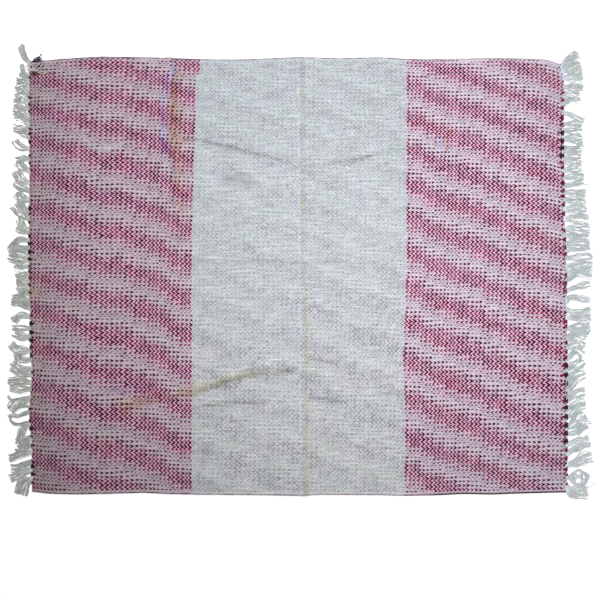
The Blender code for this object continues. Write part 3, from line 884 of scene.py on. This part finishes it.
def makeCloth(values, marks, pattern):
    columns, rows = np.meshgrid(gradedSteps(values["columnSteps"], values["columns"]),
                                gradedSteps(values["rowSteps"], values["rows"]), indexing="ij")
    x, y = clothPlaces(values, columns, rows)
    unevenHeight, unevenLength = values["unevenness"]
    lift = values["underside"] + np.maximum(creaseLift(values, x, y), wrinkleLift(values, x, y))
    lift += unevenHeight * (0.5 + 0.5 * np.clip(gentleWaves(x, y, unevenLength, 17), -1, 1))

    fromSelvedge = np.minimum(rows, values["rows"] - rows) * values["stitch"]
    fromEnd = np.minimum(columns, values["columns"] - columns) * values["stitch"]
    rollHeight, rollPlace, rollWidth = values["selvedgeRoll"]
    thick = values["thickness"] + rollHeight * np.exp(-((fromSelvedge - rollPlace) / rollWidth) ** 2)
    thin, added, rounding = values["edge"]
    nearest = np.clip(np.minimum(fromSelvedge, fromEnd) / rounding, 0, 1)
    thick *= thin + added * np.sqrt(1 - (1 - nearest) ** 2)

    world = [x * mm + middle.x, y * mm + middle.y]
    upper = np.stack([*world, (lift + thick) * mm], -1)
    lower = np.stack([*world, lift * mm], -1)
    threads = np.stack([columns / values["columns"], 1 - rows / values["rows"]], -1)
    strengths = {"tone": paintedLightFalloff(pattern, x, y)}
    strengths.update((kind, markStrength(lines, x, y)) for kind, lines in marks.items())
    return addObject("woven_cloth", meshFromGrid("woven_cloth", (upper, lower), threads, strengths))


def makeClothMaterial(values, sheet, marks):
    material, tree, shader = startMaterial("zigzag_cloth")
    position = objectPlace(tree)
    noise = {name: remap(softNoise(position, scale, detail), *span)
             for name, (scale, detail, *span) in values["noises"].items()}
    mark = {name: Field(addNode(tree, "ShaderNodeAttribute", attribute_name=name).outputs["Fac"])
            for name in ("tone", *marks)}
    stretch = addNode(tree, "ShaderNodeVectorMath", operation="MULTIPLY")
    feed(stretch.inputs[0], position)
    feed(stretch.inputs[1], values["slubStretch"])
    slubs = softNoise(Field(stretch.outputs[0]), 1.0, 3)

    across, up = readUv(tree, "threads")
    wander, otherWander = (softNoise(position, scale) - 0.5 for scale in values["wanderScales"])
    column = across * sheet["columns"] + wander * values["wander"]
    plainRow = (1 - up) * sheet["rows"]
    row = plainRow + otherWander * values["wander"]
    zigzags = useGroup(zigzagGroup, Column=column, Row=row, Rows_a_band=values["rowsPerBand"])
    grain = useGroup(yarnGrainGroup, Warp=row * values["yarnsPerRow"],
                     Weft=column * values["yarnsPerColumn"], Unevenness=wander)

    # 1 in the coloured ends, 0 in the pale middle
    leftEdge = calc("LESS_THAN", row, values["jogRows"]) + values["leftZoneEnds"]
    inColour = calc("MAXIMUM", calc("LESS_THAN", column, leftEdge),
                    calc("GREATER_THAN", column, values["rightZoneStarts"]))
    outer, inner = values["bodyRows"]
    inBody = remap(plainRow, outer, inner) * remap(plainRow, sheet["rows"] - outer, sheet["rows"] - inner)
    line, faint, cell, presence, dyed = (
        zigzags[name] * inBody for name in ("Line", "Faint line", "Cell", "Presence", "Dyed"))
    acrossCloth = remap(across, *values["acrossSpan"])
    # the painted bluish highlight on the lit sides of the folds
    paintedHighlight = mark["pale"] * values["paintedHighlightShare"] * noise["patchy"]

    # the coloured ends: ground (darker to the left, partly as painted shade), weft dye, the tan tints, the
    # painted highlight on the folds' lit sides, then the zigzag lines and their tips
    ends = layered(mixColours(acrossCloth, values["groundLeft"], values["groundRight"]), values, (
        (dyed * between(acrossCloth, *values["blushShare"]) * remap(slubs, *values["slubDye"]), "blush"),
        (mark["tan"] * values["tanGroundShare"] * noise["patchy"], "tanGround"),
        (paintedHighlight, "pale"),
        (faint * values["faintShare"], "faintLine"),
        (cell * between(acrossCloth, *values["cellShare"]), "cell")))
    # the lines take a tan colour under the tan tints and a violet one under the painted violet light
    dye = layered(mixColours(zigzags["Chance"], values["line"], values["lineDeep"]), values, (
        (noise["redder"], "lineRed"),
        (mark["tan"] * noise["patchy"], "lineTan"),
        (mark["violet"] * noise["patchy"], "lineViolet")))
    tip = mixColours(acrossCloth, values["tipLeft"], values["tipRight"])
    ends = mixColours(zigzags["Tip"] * values["tipShare"], mixColours(line, ends, dye), tip)
    # the painted highlight along the fold in the left end
    ends = mixColours(mark["light"] * noise["broken"], ends, values["light"])
    # the painted highlights on the folds take a cool cast
    ends = mixColours(paintedHighlight, ends, tinted(ends, values["paintedHighlightCast"]))
    ends = tinted(ends, noise["speckle"] * remap(slubs, *values["slubShade"]))

    # the pale middle, where the same zigzags are off-white on off-white
    ground = mixColours(remap(row, *values["middleRows"]) + noise["middleBlotch"],
                        values["groundMiddle"], values["groundMiddleLow"])
    clearness = noise["clearness"] * remap(row, *values["clearRows"])
    pale = layered(ground, values, (
        (presence * remap(noise["patchy"], 0.45, 1.0, *values["middleBandShare"]), "middleBand"),
        (paintedHighlight, "pale"),
        (faint * values["middleFaintShare"], "middleFaint"),
        (cell * values["middleCellShare"], "middleCell"),
        (line * clearness * between(zigzags["Chance"], *values["middleLineShare"]), "middleLine")))
    pale = tinted(pale, noise["middleSpeckle"] * remap(slubs, *values["middleSlubShade"]))
    base = mixColours(inColour, pale, ends)

    # the dyed yarn along both selvedges, and a dark line along the lower edge that is darkest at the right
    fromSelvedge = calc("MINIMUM", plainRow, sheet["rows"] - plainRow)
    rightShare = remap(across, *values["rightSelvedge"])
    selvedge = remap(fromSelvedge, *values["selvedgeRows"]) * noise["selvedgeDye"] \
        * between(rightShare, *values["rightSelvedgeShare"])
    lineStart, wider, lineEnd = values["lowerLineRows"]
    lowerLine = remap(plainRow, rightShare * -wider + (sheet["rows"] - lineStart), sheet["rows"] - lineEnd)
    selvedge = calc("MAXIMUM", selvedge, lowerLine * between(rightShare, *values["lowerLineShare"]))
    edgeColour = mixColours(inColour, values["selvedgeMiddle"], values["selvedge"])
    edgeColour = mixColours(rightShare * calc("GREATER_THAN", plainRow, sheet["rows"] / 2), edgeColour,
                            values["selvedgeDark"])
    base = mixColours(selvedge, base, edgeColour)

    # tan tints along the folds, the painted violet light and the painted shade along the creases, then the
    # tints of the cotton and the grain of the yarns
    tanThere = mixColours(inColour, values["tanMiddle"], values["tan"])
    for kind, uneven, markTint in (("tan", "patchy", tanThere), ("violet", "patchy", values["violet"]),
                                ("paintedCreaseShade", "broken", values["paintedCreaseShade"])):
        base = mixColours(mark[kind] * noise[uneven], base, tinted(base, markTint))
    base = tinted(base, mixColours(noise["tint"], values["violetTint"], values["greenTint"]))
    base = tinted(base, mixColours(noise["fleck"], values["fleckWarm"], values["fleckCool"]),
                  between(inColour, *values["fleckShare"]))
    # the painted shade of the light's falloff
    base = tinted(base, mark["tone"])
    base = tinted(base, between(grain["Shade"], *values["yarnShade"]) * noise["grit"])
    finishShader(shader, values, base, between(grain["Shade"], *values["roughness"]),
                 zigzags["Height"] * values["zigzagRelief"] + grain["Height"] * values["yarnRelief"])
    return material


cloth = makeCloth(clothSheet, clothMarks, weave)
cloth.data.materials.append(makeClothMaterial(weave, clothSheet, clothMarks))
print("cloth made:", len(cloth.data.polygons), "faces")


# Yarns as tubes.

def smoothLine(points, count):
    # an even run of points on a soft curve through the given ones
    points = np.array(points, float)
    padded = np.concatenate([[2 * points[0] - points[1]], points, [2 * points[-1] - points[-2]]])
    found = []
    for share in np.linspace(0, len(points) - 1, count):
        index = min(int(share), len(points) - 2)
        t = share - index
        a, b, c, d = padded[index:index + 4]
        found.append(0.5 * (2 * b + (c - a) * t + (2 * a - 5 * b + 4 * c - d) * t ** 2
                            + (3 * b - a - 3 * c + d) * t ** 3))
    return np.array(found)


def followLine(line):
    # the length run so far and the direction at each point of a line
    steps = np.diff(line, axis=0)
    run = np.concatenate([[0], np.cumsum(np.linalg.norm(steps, axis=1))])
    ahead = np.concatenate([steps[:1], (steps[:-1] + steps[1:]) / 2, steps[-1:]])
    return run, ahead / np.linalg.norm(ahead, axis=1)[:, None]


def startYarns():
    return {"points": [], "faces": [], "uv": [], "slots": []}


def addYarn(bundle, line, radius, sides=5, slot=0, thinEnd=0.6):
    # a tube along the line, with UV: round it, and along it in units of 100 mm
    line = np.array(line, float)
    run, ahead = followLine(line)
    aside = np.stack([ahead[:, 1], -ahead[:, 0], np.zeros(len(line))], -1)
    aside /= np.maximum(np.linalg.norm(aside, axis=1), 1e-6)[:, None]
    upward = np.cross(aside, ahead)
    share = run / run[-1]
    radii = radius * np.clip(np.minimum(1, thinEnd + (1 - share) * 8), 0, 1)
    angle = np.arange(sides) * 2 * math.pi / sides
    ring = (aside[:, None] * np.cos(angle)[None, :, None]
            + upward[:, None] * np.sin(angle)[None, :, None]) * radii[:, None, None]
    first = len(bundle["points"])
    bundle["points"] += [place(*point) for point in (line[:, None] + ring).reshape(-1, 3)]
    for index in range(len(line) - 1):
        for side in range(sides):
            a = first + index * sides + side
            b = first + index * sides + (side + 1) % sides
            bundle["faces"].append((a, a + sides, b + sides, b))
            low, high = run[index] / 100, run[index + 1] / 100
            bundle["uv"] += [(side / sides, low), (side / sides, high),
                             ((side + 1) / sides, high), ((side + 1) / sides, low)]
            bundle["slots"].append(slot)
    last = first + (len(line) - 1) * sides
    for cap in (list(range(first, first + sides)), list(range(last + sides - 1, last - 1, -1))):
        bundle["faces"].append(tuple(cap))
        bundle["uv"] += [(0.5, 0.0 if cap[0] == first else run[-1] / 100)] * sides
        bundle["slots"].append(slot)


def finishYarns(bundle, name, materials):
    mesh = bpy.data.meshes.new(name)
    mesh.from_pydata(bundle["points"], [], bundle["faces"])
    mesh.uv_layers.new(name="yarn").data.foreach_set("uv", np.array(bundle["uv"], np.float32).reshape(-1))
    mesh.polygons.foreach_set("material_index", bundle["slots"])
    mesh.shade_smooth()
    for material in materials:
        mesh.materials.append(material)
    return addObject(name, mesh)


yarnLook = {
    "violetTint": (1.01, 0.965, 1.035),
    "greenTint": (0.955, 1.01, 0.985),
    "tint": (48, 2, 0.4, 0.6),
    "dull": (40, 3, 0.35, 0.65, 0.0, 0.8),
    # the stretch of each yarn over which the root colour fades into the body colour, in 100 mm
    "rootFade": (0.06, 0.22),
    "plyShade": (0.74, 1.04),
    "roughness": (0.96, 0.86),
    "relief": 0.35,
    "specular": 0.2,
    "sheen": 0.1,
    "bump": 0.7,
}


def makeYarnMaterial(name, root, body, shade, twist, look=yarnLook):
    material, tree, shader = startMaterial(name)
    position = objectPlace(tree)
    tint, dull = (remap(softNoise(position, scale, detail), *span)
                  for scale, detail, *span in (look["tint"], look["dull"]))
    around, along = readUv(tree, "yarn")
    twisted = useGroup(twistedYarnGroup, Around=around, Along=along, Turns=twist)
    base = mixColours(easeIn(along, *look["rootFade"]), root, body)
    base = mixColours(dull, base, shade)
    base = tinted(base, mixColours(tint, look["violetTint"], look["greenTint"]))
    base = tinted(base, between(twisted["Shade"], *look["plyShade"]))
    finishShader(shader, look, base, between(twisted["Shade"], *look["roughness"]),
                 twisted["Height"] * look["relief"])
    return material


def makeYarnMaterials(values, names, ending):
    return [makeYarnMaterial(name + ending, values[name], values[name], values[name + "Shade"],
                             values["twist"]) for name in names]


# The two fringes.

# Each lock: y of its root, how far its bend lies out of the cloth's end and up the picture, the same
# for its tip, and its width there. A seventh number loosens its yarns.
leftFringe = {
    "seed": 21, "side": -1,
    "yarnWidth": 2.3, "rootWidth": 15.0, "start": 3.5, "fullness": 1.66, "curl": 2.8, "twist": 18.0,
    "root": colour(184, 187, 175), "body": colour(170, 171, 168), "shade": colour(144, 146, 140),
    "locks": [
        (610, 16, 19, 27, 50, 10, -0.5), (607, 13, 24, 22, 58, 8, -0.5), (568, 16, 14, 23, 41, 9, -0.4),
        (556, 17, 17, 31, 20, 13), (540, 20, 19, 39, 19, 13), (518, 23, 17, 42, 14, 14),
        (498, 20, 20, 39, 11, 14), (475, 26, 20, 48, 17, 14), (453, 21, 23, 48, 23, 13),
        (430, 26, 29, 48, 26, 14), (421, 24, -1, 48, -1, 14), (395, 9, 6, 21, 20, 14),
        (364, 33, 9, 43, 27, 17), (338, 21, -3, 41, -6, 14), (298, 21, 17, 33, 34, 17),
        (267, 27, 14, 41, 37, 17), (244, 27, 14, 44, 27, 16), (215, 21, 9, 38, 26, 17),
        (178, 18, 20, 32, 43, 14), (162, 26, 16, 49, 41, 14), (135, 15, 3, 32, 34, 14),
        (127, 15, 6, 38, 14, 17), (101, 26, 3, 58, -20, 14), (82, 29, -4, 58, -7, 13),
        (55, 26, 14, 60, 11, 16), (44, 32, 3, 63, 9, 14), (27, 23, 2, 46, 4, 9),
        (9, 19, -7, 39, -14, 14), (-12, 19, -1, 38, -1, 17), (-32, 18, 3, 37, 6, 14),
        (-48, 16, 3, 27, -9, 14), (-76, 22, 13, 52, 11, 16), (-93, 34, 17, 56, 14, 14),
        (-115, 29, 4, 50, -16, 14), (-148, 27, 1, 55, 1, 11), (-174, 29, 3, 49, 17, 16),
        (-211, 35, 0, 58, 20, 17), (-239, 29, 0, 43, 23, 14), (-264, 30, -1, 58, 23, 14),
        (-282, 34, 3, 62, 24, 14), (-304, 35, 4, 69, 7, 16), (-322, 31, 1, 62, 3, 14),
        (-344, 52, -9, 66, 4, 5), (-348, 28, -12, 60, -36, 15, 0.3), (-372, 22, 2, 44, -4, 6),
        (-386, 36, -14, 62, -12, 9), (-416, 42, -6, 63, 22, 8), (-422, 17, -11, 35, -57, 13),
        (-458, 17, -13, 40, -30, 17), (-471, 15, -20, 46, -31, 14), (-502, 27, -6, 67, -20, 14),
        (-528, 33, -16, 63, -20, 14), (-551, 33, -13, 65, -26, 17), (-578, 23, -16, 32, -49, 24, -0.4)
    ],
    # single yarns that have come loose: points out of the cloth's end and y
    "loose": [
        [(-34, 612), (-26, 604), (-16, 595), (-4, 590), (8, 592)],
        [(-32, 608), (-24, 600), (-14, 592), (-3, 587), (9, 588)],
        [(-28, 606), (-20, 598), (-12, 589), (-2, 583), (7, 582)],
        [(8, -30), (24, -34), (32, -48), (31, -64)],
        [(4, 10), (20, 20), (34, 12), (44, 22)],
        [(6, -205), (26, -196), (44, -204), (60, -192)],
        [(8, 100), (30, 106), (50, 96), (60, 84), (62, 74)],
    ],
    "rings": [],
}
rightFringe = {
    "seed": 34, "side": 1,
    "yarnWidth": 2.3, "rootWidth": 15.5, "start": 4.5, "fullness": 1.72, "curl": 3.1, "twist": 18.0,
    "root": colour(216, 222, 231), "body": colour(193, 201, 202), "shade": colour(174, 182, 180),
    "locks": [
        (601, 24, 20, 47, 37, 16, -0.3), (587, 28, 8, 54, 18, 16, -0.2), (567, 28, 2, 57, 4, 17),
        (540, 28, 1, 56, 1, 14), (515, 16, 10, 48, 4, 9), (490, 17, 14, 51, 17, 11),
        (468, 26, -7, 59, -30, 10), (435, 28, 0, 55, 0, 11), (417, 28, -1, 56, -3, 14),
        (393, 28, -1, 57, -3, 17), (370, 30, -3, 60, 7, 9), (354, 28, 2, 55, 4, 11),
        (338, 27, 1, 54, 3, 11), (324, 27, -1, 54, -1, 11), (304, 27, 1, 55, 3, 14),
        (282, 30, 3, 59, 6, 14), (257, 29, 8, 57, 16, 11), (241, 32, -1, 64, -3, 14),
        (220, 33, -3, 65, -6, 17), (192, 33, -2, 66, -4, 20), (165, 36, -2, 71, -4, 17),
        (138, 37, -4, 74, -9, 20), (117, 26, -6, 51, -11, 14), (89, 35, 6, 70, 11, 23),
        (69, 21, 7, 72, 9, 7), (52, 39, 2, 79, 4, 13), (29, 38, 5, 77, 10, 11), (12, 38, 6, 77, 11, 10),
        (-13, 30, 20, 75, 16, 11), (-42, 21, 9, 70, 23, 13), (-75, 12, 14, 72, 7, 11),
        (-91, 18, -11, 73, -6, 14), (-119, 36, 0, 72, 0, 14), (-148, 35, 1, 69, 3, 20),
        (-182, 29, 19, 62, 9, 20), (-208, 29, 17, 53, 6, 14), (-239, 26, 26, 48, 11, 14),
        (-268, 15, 11, 49, 30, 14, 0.6), (-334, 18, 43, 55, 61, 20), (-357, 23, 20, 55, 26, 17),
        (-382, 23, 17, 56, 27, 11), (-405, 29, 26, 55, 34, 11), (-434, 28, 20, 56, 40, 23, 1.0),
        (-451, 26, 6, 61, 27, 11), (-482, 32, 11, 65, 20, 14), (-511, 21, 17, 71, 29, 13),
        (-542, 26, 11, 75, 26, 20, 0.7), (-576, 8, 2, 16, 8, 9), (-598, 15, -18, 61, -13, 20),
        (-610, 20, -18, 63, -16, 10)
    ],
    # rings that the yarns have curled into: out, y, radius and number of yarns
    "rings": [
        (35, -577, 22, 4), (33, -584, 10, 3), (52, -571, 9, 3), (33, -561, 8, 2), (17, -579, 8, 2),
    ],
    "loose": [
        [(4, -601), (40, -600), (66, -602), (84, -588)],
        [(5, 268), (30, 262), (52, 264), (72, 262)],
        [(30, -428), (34, -452), (42, -462)],
        [(44, -398), (36, -420), (40, -444)],
    ],
}


# How the yarns of every lock lie, curl and stray.
lockYarns = {
    "apart": 2.15,
    "fewest": 6,
    "strands": 3,
    "strandTurns": (0.5, 1.3),
    "strandCurl": (0.4, 1.0),
    "ownTurns": (1.2, 3.2),
    "ownCurl": (0.8, 3.0),
    "stray": 1.6,
    # what looseness does to a strand's curl, to a yarn's own and to its stray
    "looser": (1.6, 1.2, 3.0),
    "waist": 0.18,
    "shorter": 0.035,
    "thickness": (0.88, 1.08),
    # height of the roots on the cloth and of the yarns that lie on others
    "rootLift": 2.2,
    "upperLift": 1.5,
}


def clothEnd(side, y):
    # x of the cloth's end, by y
    leans = clothSheet["columnLeans"][0 if side < 0 else -1][1]
    return side * clothSheet["flatSize"][0] / 2 + float(softTable(leans, y, clothSheet["smoothing"]))


def makeFringe(values, name, material, yarns=lockYarns):
    pick = random.Random(values["seed"])
    side = values["side"]
    bundle = startYarns()
    for rootY, bendOut, bendUp, tipOut, tipUp, width, *more in values["locks"]:
        looseness = more[0] if more else 0.0
        curlGrowth, ownGrowth, strayGrowth = (growth * looseness for growth in yarns["looser"])
        width *= values["fullness"]
        count = max(yarns["fewest"], round(width / yarns["apart"]))
        curl = [(pick.uniform(*yarns["strandTurns"]), pick.uniform(0, 2 * math.pi),
                 pick.uniform(*yarns["strandCurl"])) for _ in range(yarns["strands"])]
        middleLine = smoothLine([(-values["start"], 0), (0, bendUp * 0.02), (bendOut, bendUp),
                                 (tipOut, tipUp)], 17)
        run, ahead = followLine(middleLine)
        share = run / run[-1]
        across = np.stack([-ahead[:, 1], ahead[:, 0]], -1)
        gather = min(values["rootWidth"], width)
        spread = gather / 2 + (width - gather) / 2 * easedShare(share * 1.8)
        spread *= 1 - yarns["waist"] * easedShare((run - 4) / 6) * easedShare((16 - run) / 8)
        for index in range(count):
            slot = (index + 0.5) / count * 2 - 1
            slot += pick.uniform(-0.16, 0.16)
            layer = pick.choice((0, 0, 1))
            # the yarns of a lock hang together in strands, each with its own curl
            turns, phase, amount = curl[index * yarns["strands"] // count]
            wave = values["curl"] * amount * (1 + curlGrowth)
            ownWave = pick.uniform(*yarns["ownCurl"]) * (1 + ownGrowth)
            ownTurns, ownPhase = pick.uniform(*yarns["ownTurns"]), pick.uniform(0, 2 * math.pi)
            stray = pick.gauss(0, yarns["stray"] + strayGrowth)
            curled = (wave * np.sin(turns * 2 * math.pi * share + phase)
                      + ownWave * np.sin(ownTurns * 2 * math.pi * share + ownPhase) + stray)
            sideways = slot * (spread - values["yarnWidth"] / 2) + easedShare(share * 1.2) * curled
            length = 1 - abs(pick.gauss(0, yarns["shorter"])) - 0.02 * abs(slot)
            line = middleLine + across * sideways[:, None]
            keep = np.linspace(0, length, 15)
            out, up = (np.interp(keep, share, line[:, axis]) for axis in (0, 1))
            radius = values["yarnWidth"] / 2 * pick.uniform(*yarns["thickness"])
            onCloth = easedShare((5 - out) / 6) * yarns["rootLift"]
            raised = layer * yarns["upperLift"] * easedShare(keep * 3) * easedShare((1.05 - keep) * 4)
            x = clothEnd(side, rootY) + side * out
            addYarn(bundle, np.stack([x, rootY + up, radius + 0.1 + onCloth + raised], -1), radius)
    for points in values["loose"]:
        flat = smoothLine(points, 6 * len(points))
        x = clothEnd(side, points[0][1]) + side * flat[:, 0]
        rise = 1.3 + 1.5 * np.sin(np.linspace(0.4, 3.0, len(flat))) ** 2 + 2.4 * easedShare(-flat[:, 0] / 4)
        addYarn(bundle, np.stack([x, flat[:, 1], rise], -1), 0.9)
    for out, y, radius, count in values["rings"]:
        for _ in range(count):
            own = radius + pick.gauss(0, 1.2)
            bend, phase = pick.uniform(0.04, 0.12), pick.uniform(0, 2 * math.pi)
            turn = phase + np.linspace(0, 1.08 * 2 * math.pi, 30)
            own = own * (1 + bend * np.sin(2 * turn + phase)) + np.linspace(0, pick.uniform(-2, 2), 30)
            x = clothEnd(side, y) + side * np.maximum(out + own * np.cos(turn), -4)
            onCloth = easedShare((3 - side * (x - clothEnd(side, y))) / 5)
            height = 1.4 + pick.uniform(0, 1.6) + 0.8 * np.sin(1.5 * turn) ** 2 + 2.4 * onCloth
            addYarn(bundle, np.stack([x, y + own * np.sin(turn), height], -1), 1.05)
    return finishYarns(bundle, name, [makeYarnMaterial(
        material, values["root"], values["body"], values["shade"], values["twist"])])


fringeLeft = makeFringe(leftFringe, "warp_fringe_left", "cotton_yarn_left")
fringeRight = makeFringe(rightFringe, "warp_fringe_right", "cotton_yarn_right")
print("fringes made:", len(fringeLeft.data.polygons), "and", len(fringeRight.data.polygons), "faces")


# The dark locking yarn, which hitches the warp ends between the locks.

lockingYarn = {
    "seed": 9,
    "width": 2.2,
    "reach": 9.5,
    "spread": 10.5,
    "rightGrowth": 1.14,
    "inkGrowth": 0.45,
    # each wedge's strands, from its one side to the other, and how far off the end its bars lie
    "strands": (-1, -0.6, -0.2, 0.2, 0.6, 1),
    "bars": (-3.2, -1.1, 1.0, -5.2),
    "twist": 22.0,
    "wine": colour(122, 2, 66), "wineShade": colour(66, 0, 36),
    "ink": colour(20, 20, 28), "inkShade": colour(12, 12, 18),
    "maroon": colour(64, 2, 26), "maroonShade": colour(30, 0, 10),
    # y of each wedge, its size, and a 1 where the yarn is near-black in place of dark red
    "left": [
        (567, 0.8), (510, 1.0), (493, 0.9), (472, 0.7), (421, 0.8), (407, 0.8), (384, 0.7), (344, 0.8),
        (324, 0.6), (195, 1.2), (178, 0.8), (155, 0.7), (115, 0.8), (93, 1.1, 1), (70, 1.1, 1),
        (49, 1, 1), (29, 0.8), (13, 1), (-7, 1), (-26, 0.9), (-46, 0.9), (-113, 1), (-135, 1.1, 1),
        (-160, 1.2, 1), (-182, 1.1, 1), (-204, 1.1), (-227, 1.1), (-274, 0.8), (-379, 0.9), (-414, 1.1),
        (-435, 1, 1), (-457, 0.7), (-482, 0.7), (-528, 0.9), (-544, 1.1, 1), (-565, 1, 1), (-588, 0.7)
    ],
    "right": [
        (523, 0.8), (503, 0.8), (481, 1.2), (454, 1.15), (434, 1.1), (410, 1.15, 1), (388, 1.25, 1),
        (367, 1.2, 1), (345, 1.3, 1), (324, 1.15), (310, 1.15), (287, 1.15), (264, 1.15), (244, 1.15),
        (227, 1.15), (204, 1.15), (178, 1.15), (132, 1.15), (105, 1.15), (84, 1.15), (64, 1.15),
        (4, 1.15), (-19, 1.15), (-42, 1.15), (-128, 1.15), (-145, 1.15), (-188, 1.15), (-214, 1.15),
        (-234, 1.15), (-256, 1.3, 1), (-282, 1.3, 1), (-308, 1.3, 1), (-331, 1.0), (-355, 1.3, 1),
        (-376, 1.2, 1), (-402, 1.3, 1), (-427, 1.4, 1), (-449, 1.2, 1), (-472, 1.3, 1), (-496, 1.1),
        (-519, 1.3), (-550, 1.0), (-568, 0.7), (-594, 0.6)
    ],
}


def makeLockingYarn(values):
    pick = random.Random(values["seed"])
    bundle = startYarns()
    names = ("wine", "ink", "maroon")
    for side, wedges in ((-1, values["left"]), (1, values["right"])):
        dyed = names.index("maroon" if side < 0 else "wine")
        for y, size, *ink in wedges:
            ink = len(ink)
            end = clothEnd(side, y)
            size *= values["rightGrowth"] if side > 0 else 1
            for share in values["strands"]:
                reach = (values["reach"] * (1 + values["inkGrowth"] * ink) * size * (1 - 0.5 * abs(share))
                         * pick.uniform(0.85, 1.15))
                foot = y + share * values["spread"] * size / 2
                head = y + share * values["spread"] * size * 0.12
                line = smoothLine([(end - side * reach, head, 2.2),
                                   (end - side * reach * 0.5, (head + foot) / 2, 3.5),
                                   (end + side * 0.4, foot, 3.1), (end + side * 1.8, foot, 1.2)], 8)
                addYarn(bundle, line, values["width"] / 2, slot=dyed, thinEnd=1.0)
            # the bars of the hitch, across the end of the cloth
            for row, across in enumerate(values["bars"][:2 + 2 * ink]):
                bow = values["spread"] * size * (0.42 + 0.06 * row)
                line = smoothLine([(end + side * across, y - bow, 2.6),
                                   (end + side * (across + 0.4), y, 4.6),
                                   (end + side * across, y + bow, 2.6)], 8)
                addYarn(bundle, line, values["width"] / 2, slot=names.index("ink") if ink else dyed,
                        thinEnd=1.0)
    return finishYarns(bundle, "locking_yarn", makeYarnMaterials(values, names, "_locking_yarn"))


# The knot at the upper left corner, with the beige and wine yarns by it.

cornerYarns = {
    "width": 2.4,
    "twist": 22.0,
    "navy": colour(26, 26, 54), "navyShade": colour(12, 12, 28),
    "beige": colour(182, 176, 168), "beigeShade": colour(152, 146, 138),
    "wine": colour(84, 16, 34), "wineShade": colour(48, 6, 18),
    # x, y and height along each yarn
    "navyLines": [
        [(-759, 613, 3.0), (-752, 616, 5.2), (-744, 618, 6.4), (-736, 619, 6.0), (-733, 623, 4.6),
         (-738, 626, 5.4),
         (-746, 623, 6.6), (-753, 619, 6.0), (-749, 614, 4.6), (-741, 614, 6.8), (-735, 617, 7.4)],
        [(-745, 620, 6.0), (-738, 623, 7.0), (-735, 628, 5.4), (-734, 633, 3.2), (-731, 636, 1.5)],
        [(-748, 618, 7.4), (-742, 621, 8.0), (-737, 625, 6.6), (-735, 630, 4.0), (-732, 634, 1.8)],
        [(-751, 611, 4.4), (-745, 612, 6.0), (-738, 613, 6.2), (-733, 616, 4.6)],
        [(-756, 614, 3.6), (-749, 618, 5.4), (-741, 621, 5.6), (-735, 622, 4.6)],
        [(-755, 612, 3.8), (-747, 616, 6.0), (-739, 617, 6.4), (-732, 618, 4.4)],
    ],
    "beigeLines": [
        [
            (-775, 604, 2.6), (-766, 596, 4.2), (-756, 590, 4.6), (-745, 588, 4.4), (-735, 586, 4.2),
            (-722, 582, 3.9), (-714, 587, 3.8)],
        [
            (-777, 600, 2.4), (-768, 592, 4.0), (-757, 587, 4.6), (-746, 585, 4.6), (-736, 580, 4.2),
            (-724, 578, 3.9), (-712, 583, 3.8)],
        [(-756, 588, 4.4), (-744, 590, 5.2), (-734, 596, 5.4), (-728, 604, 5.0), (-726, 611, 4.2)],
        [(-772, 608, 2.6), (-764, 606, 4.0), (-757, 600, 4.6), (-752, 592, 4.8), (-742, 586, 5.2)],
        [(-768, 612, 2.6), (-760, 609, 4.2), (-752, 607, 4.8), (-742, 608, 4.8), (-731, 611, 4.4)],
    ],
    "wineLines": [
        [(-758, 581, 3.8), (-752, 584, 5.0), (-745, 583, 5.2), (-739, 579, 4.2)],
        [(-761, 577, 3.6), (-754, 580, 4.8), (-746, 579, 5.2), (-737, 576, 4.0)],
        [(-759, 574, 3.6), (-751, 575, 4.8), (-743, 574, 4.4)],
        [(-754, 601, 3.8), (-747, 599, 4.4), (-740, 601, 4.4), (-735, 600, 3.8)],
    ],
}


def makeCornerYarns(values):
    bundle = startYarns()
    names = ("navy", "beige", "wine")
    for slot, name in enumerate(names):
        for line in values[name + "Lines"]:
            addYarn(bundle, smoothLine(line, 6 * len(line)), values["width"] / 2, 6, slot)
    return finishYarns(bundle, "corner_yarns", makeYarnMaterials(values, names, "_corner_yarn"))


locking = makeLockingYarn(lockingYarn)
corner = makeCornerYarns(cornerYarns)
print("locking yarn and corner yarns made")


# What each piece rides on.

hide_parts("cloth")
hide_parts("fringe_left")
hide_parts("fringe_right")
for piece, slot in ((cloth, "cloth"), (fringeLeft, "fringe_left"), (fringeRight, "fringe_right"),
                    (locking, "cloth"), (corner, "cloth")):
    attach(piece, "root")
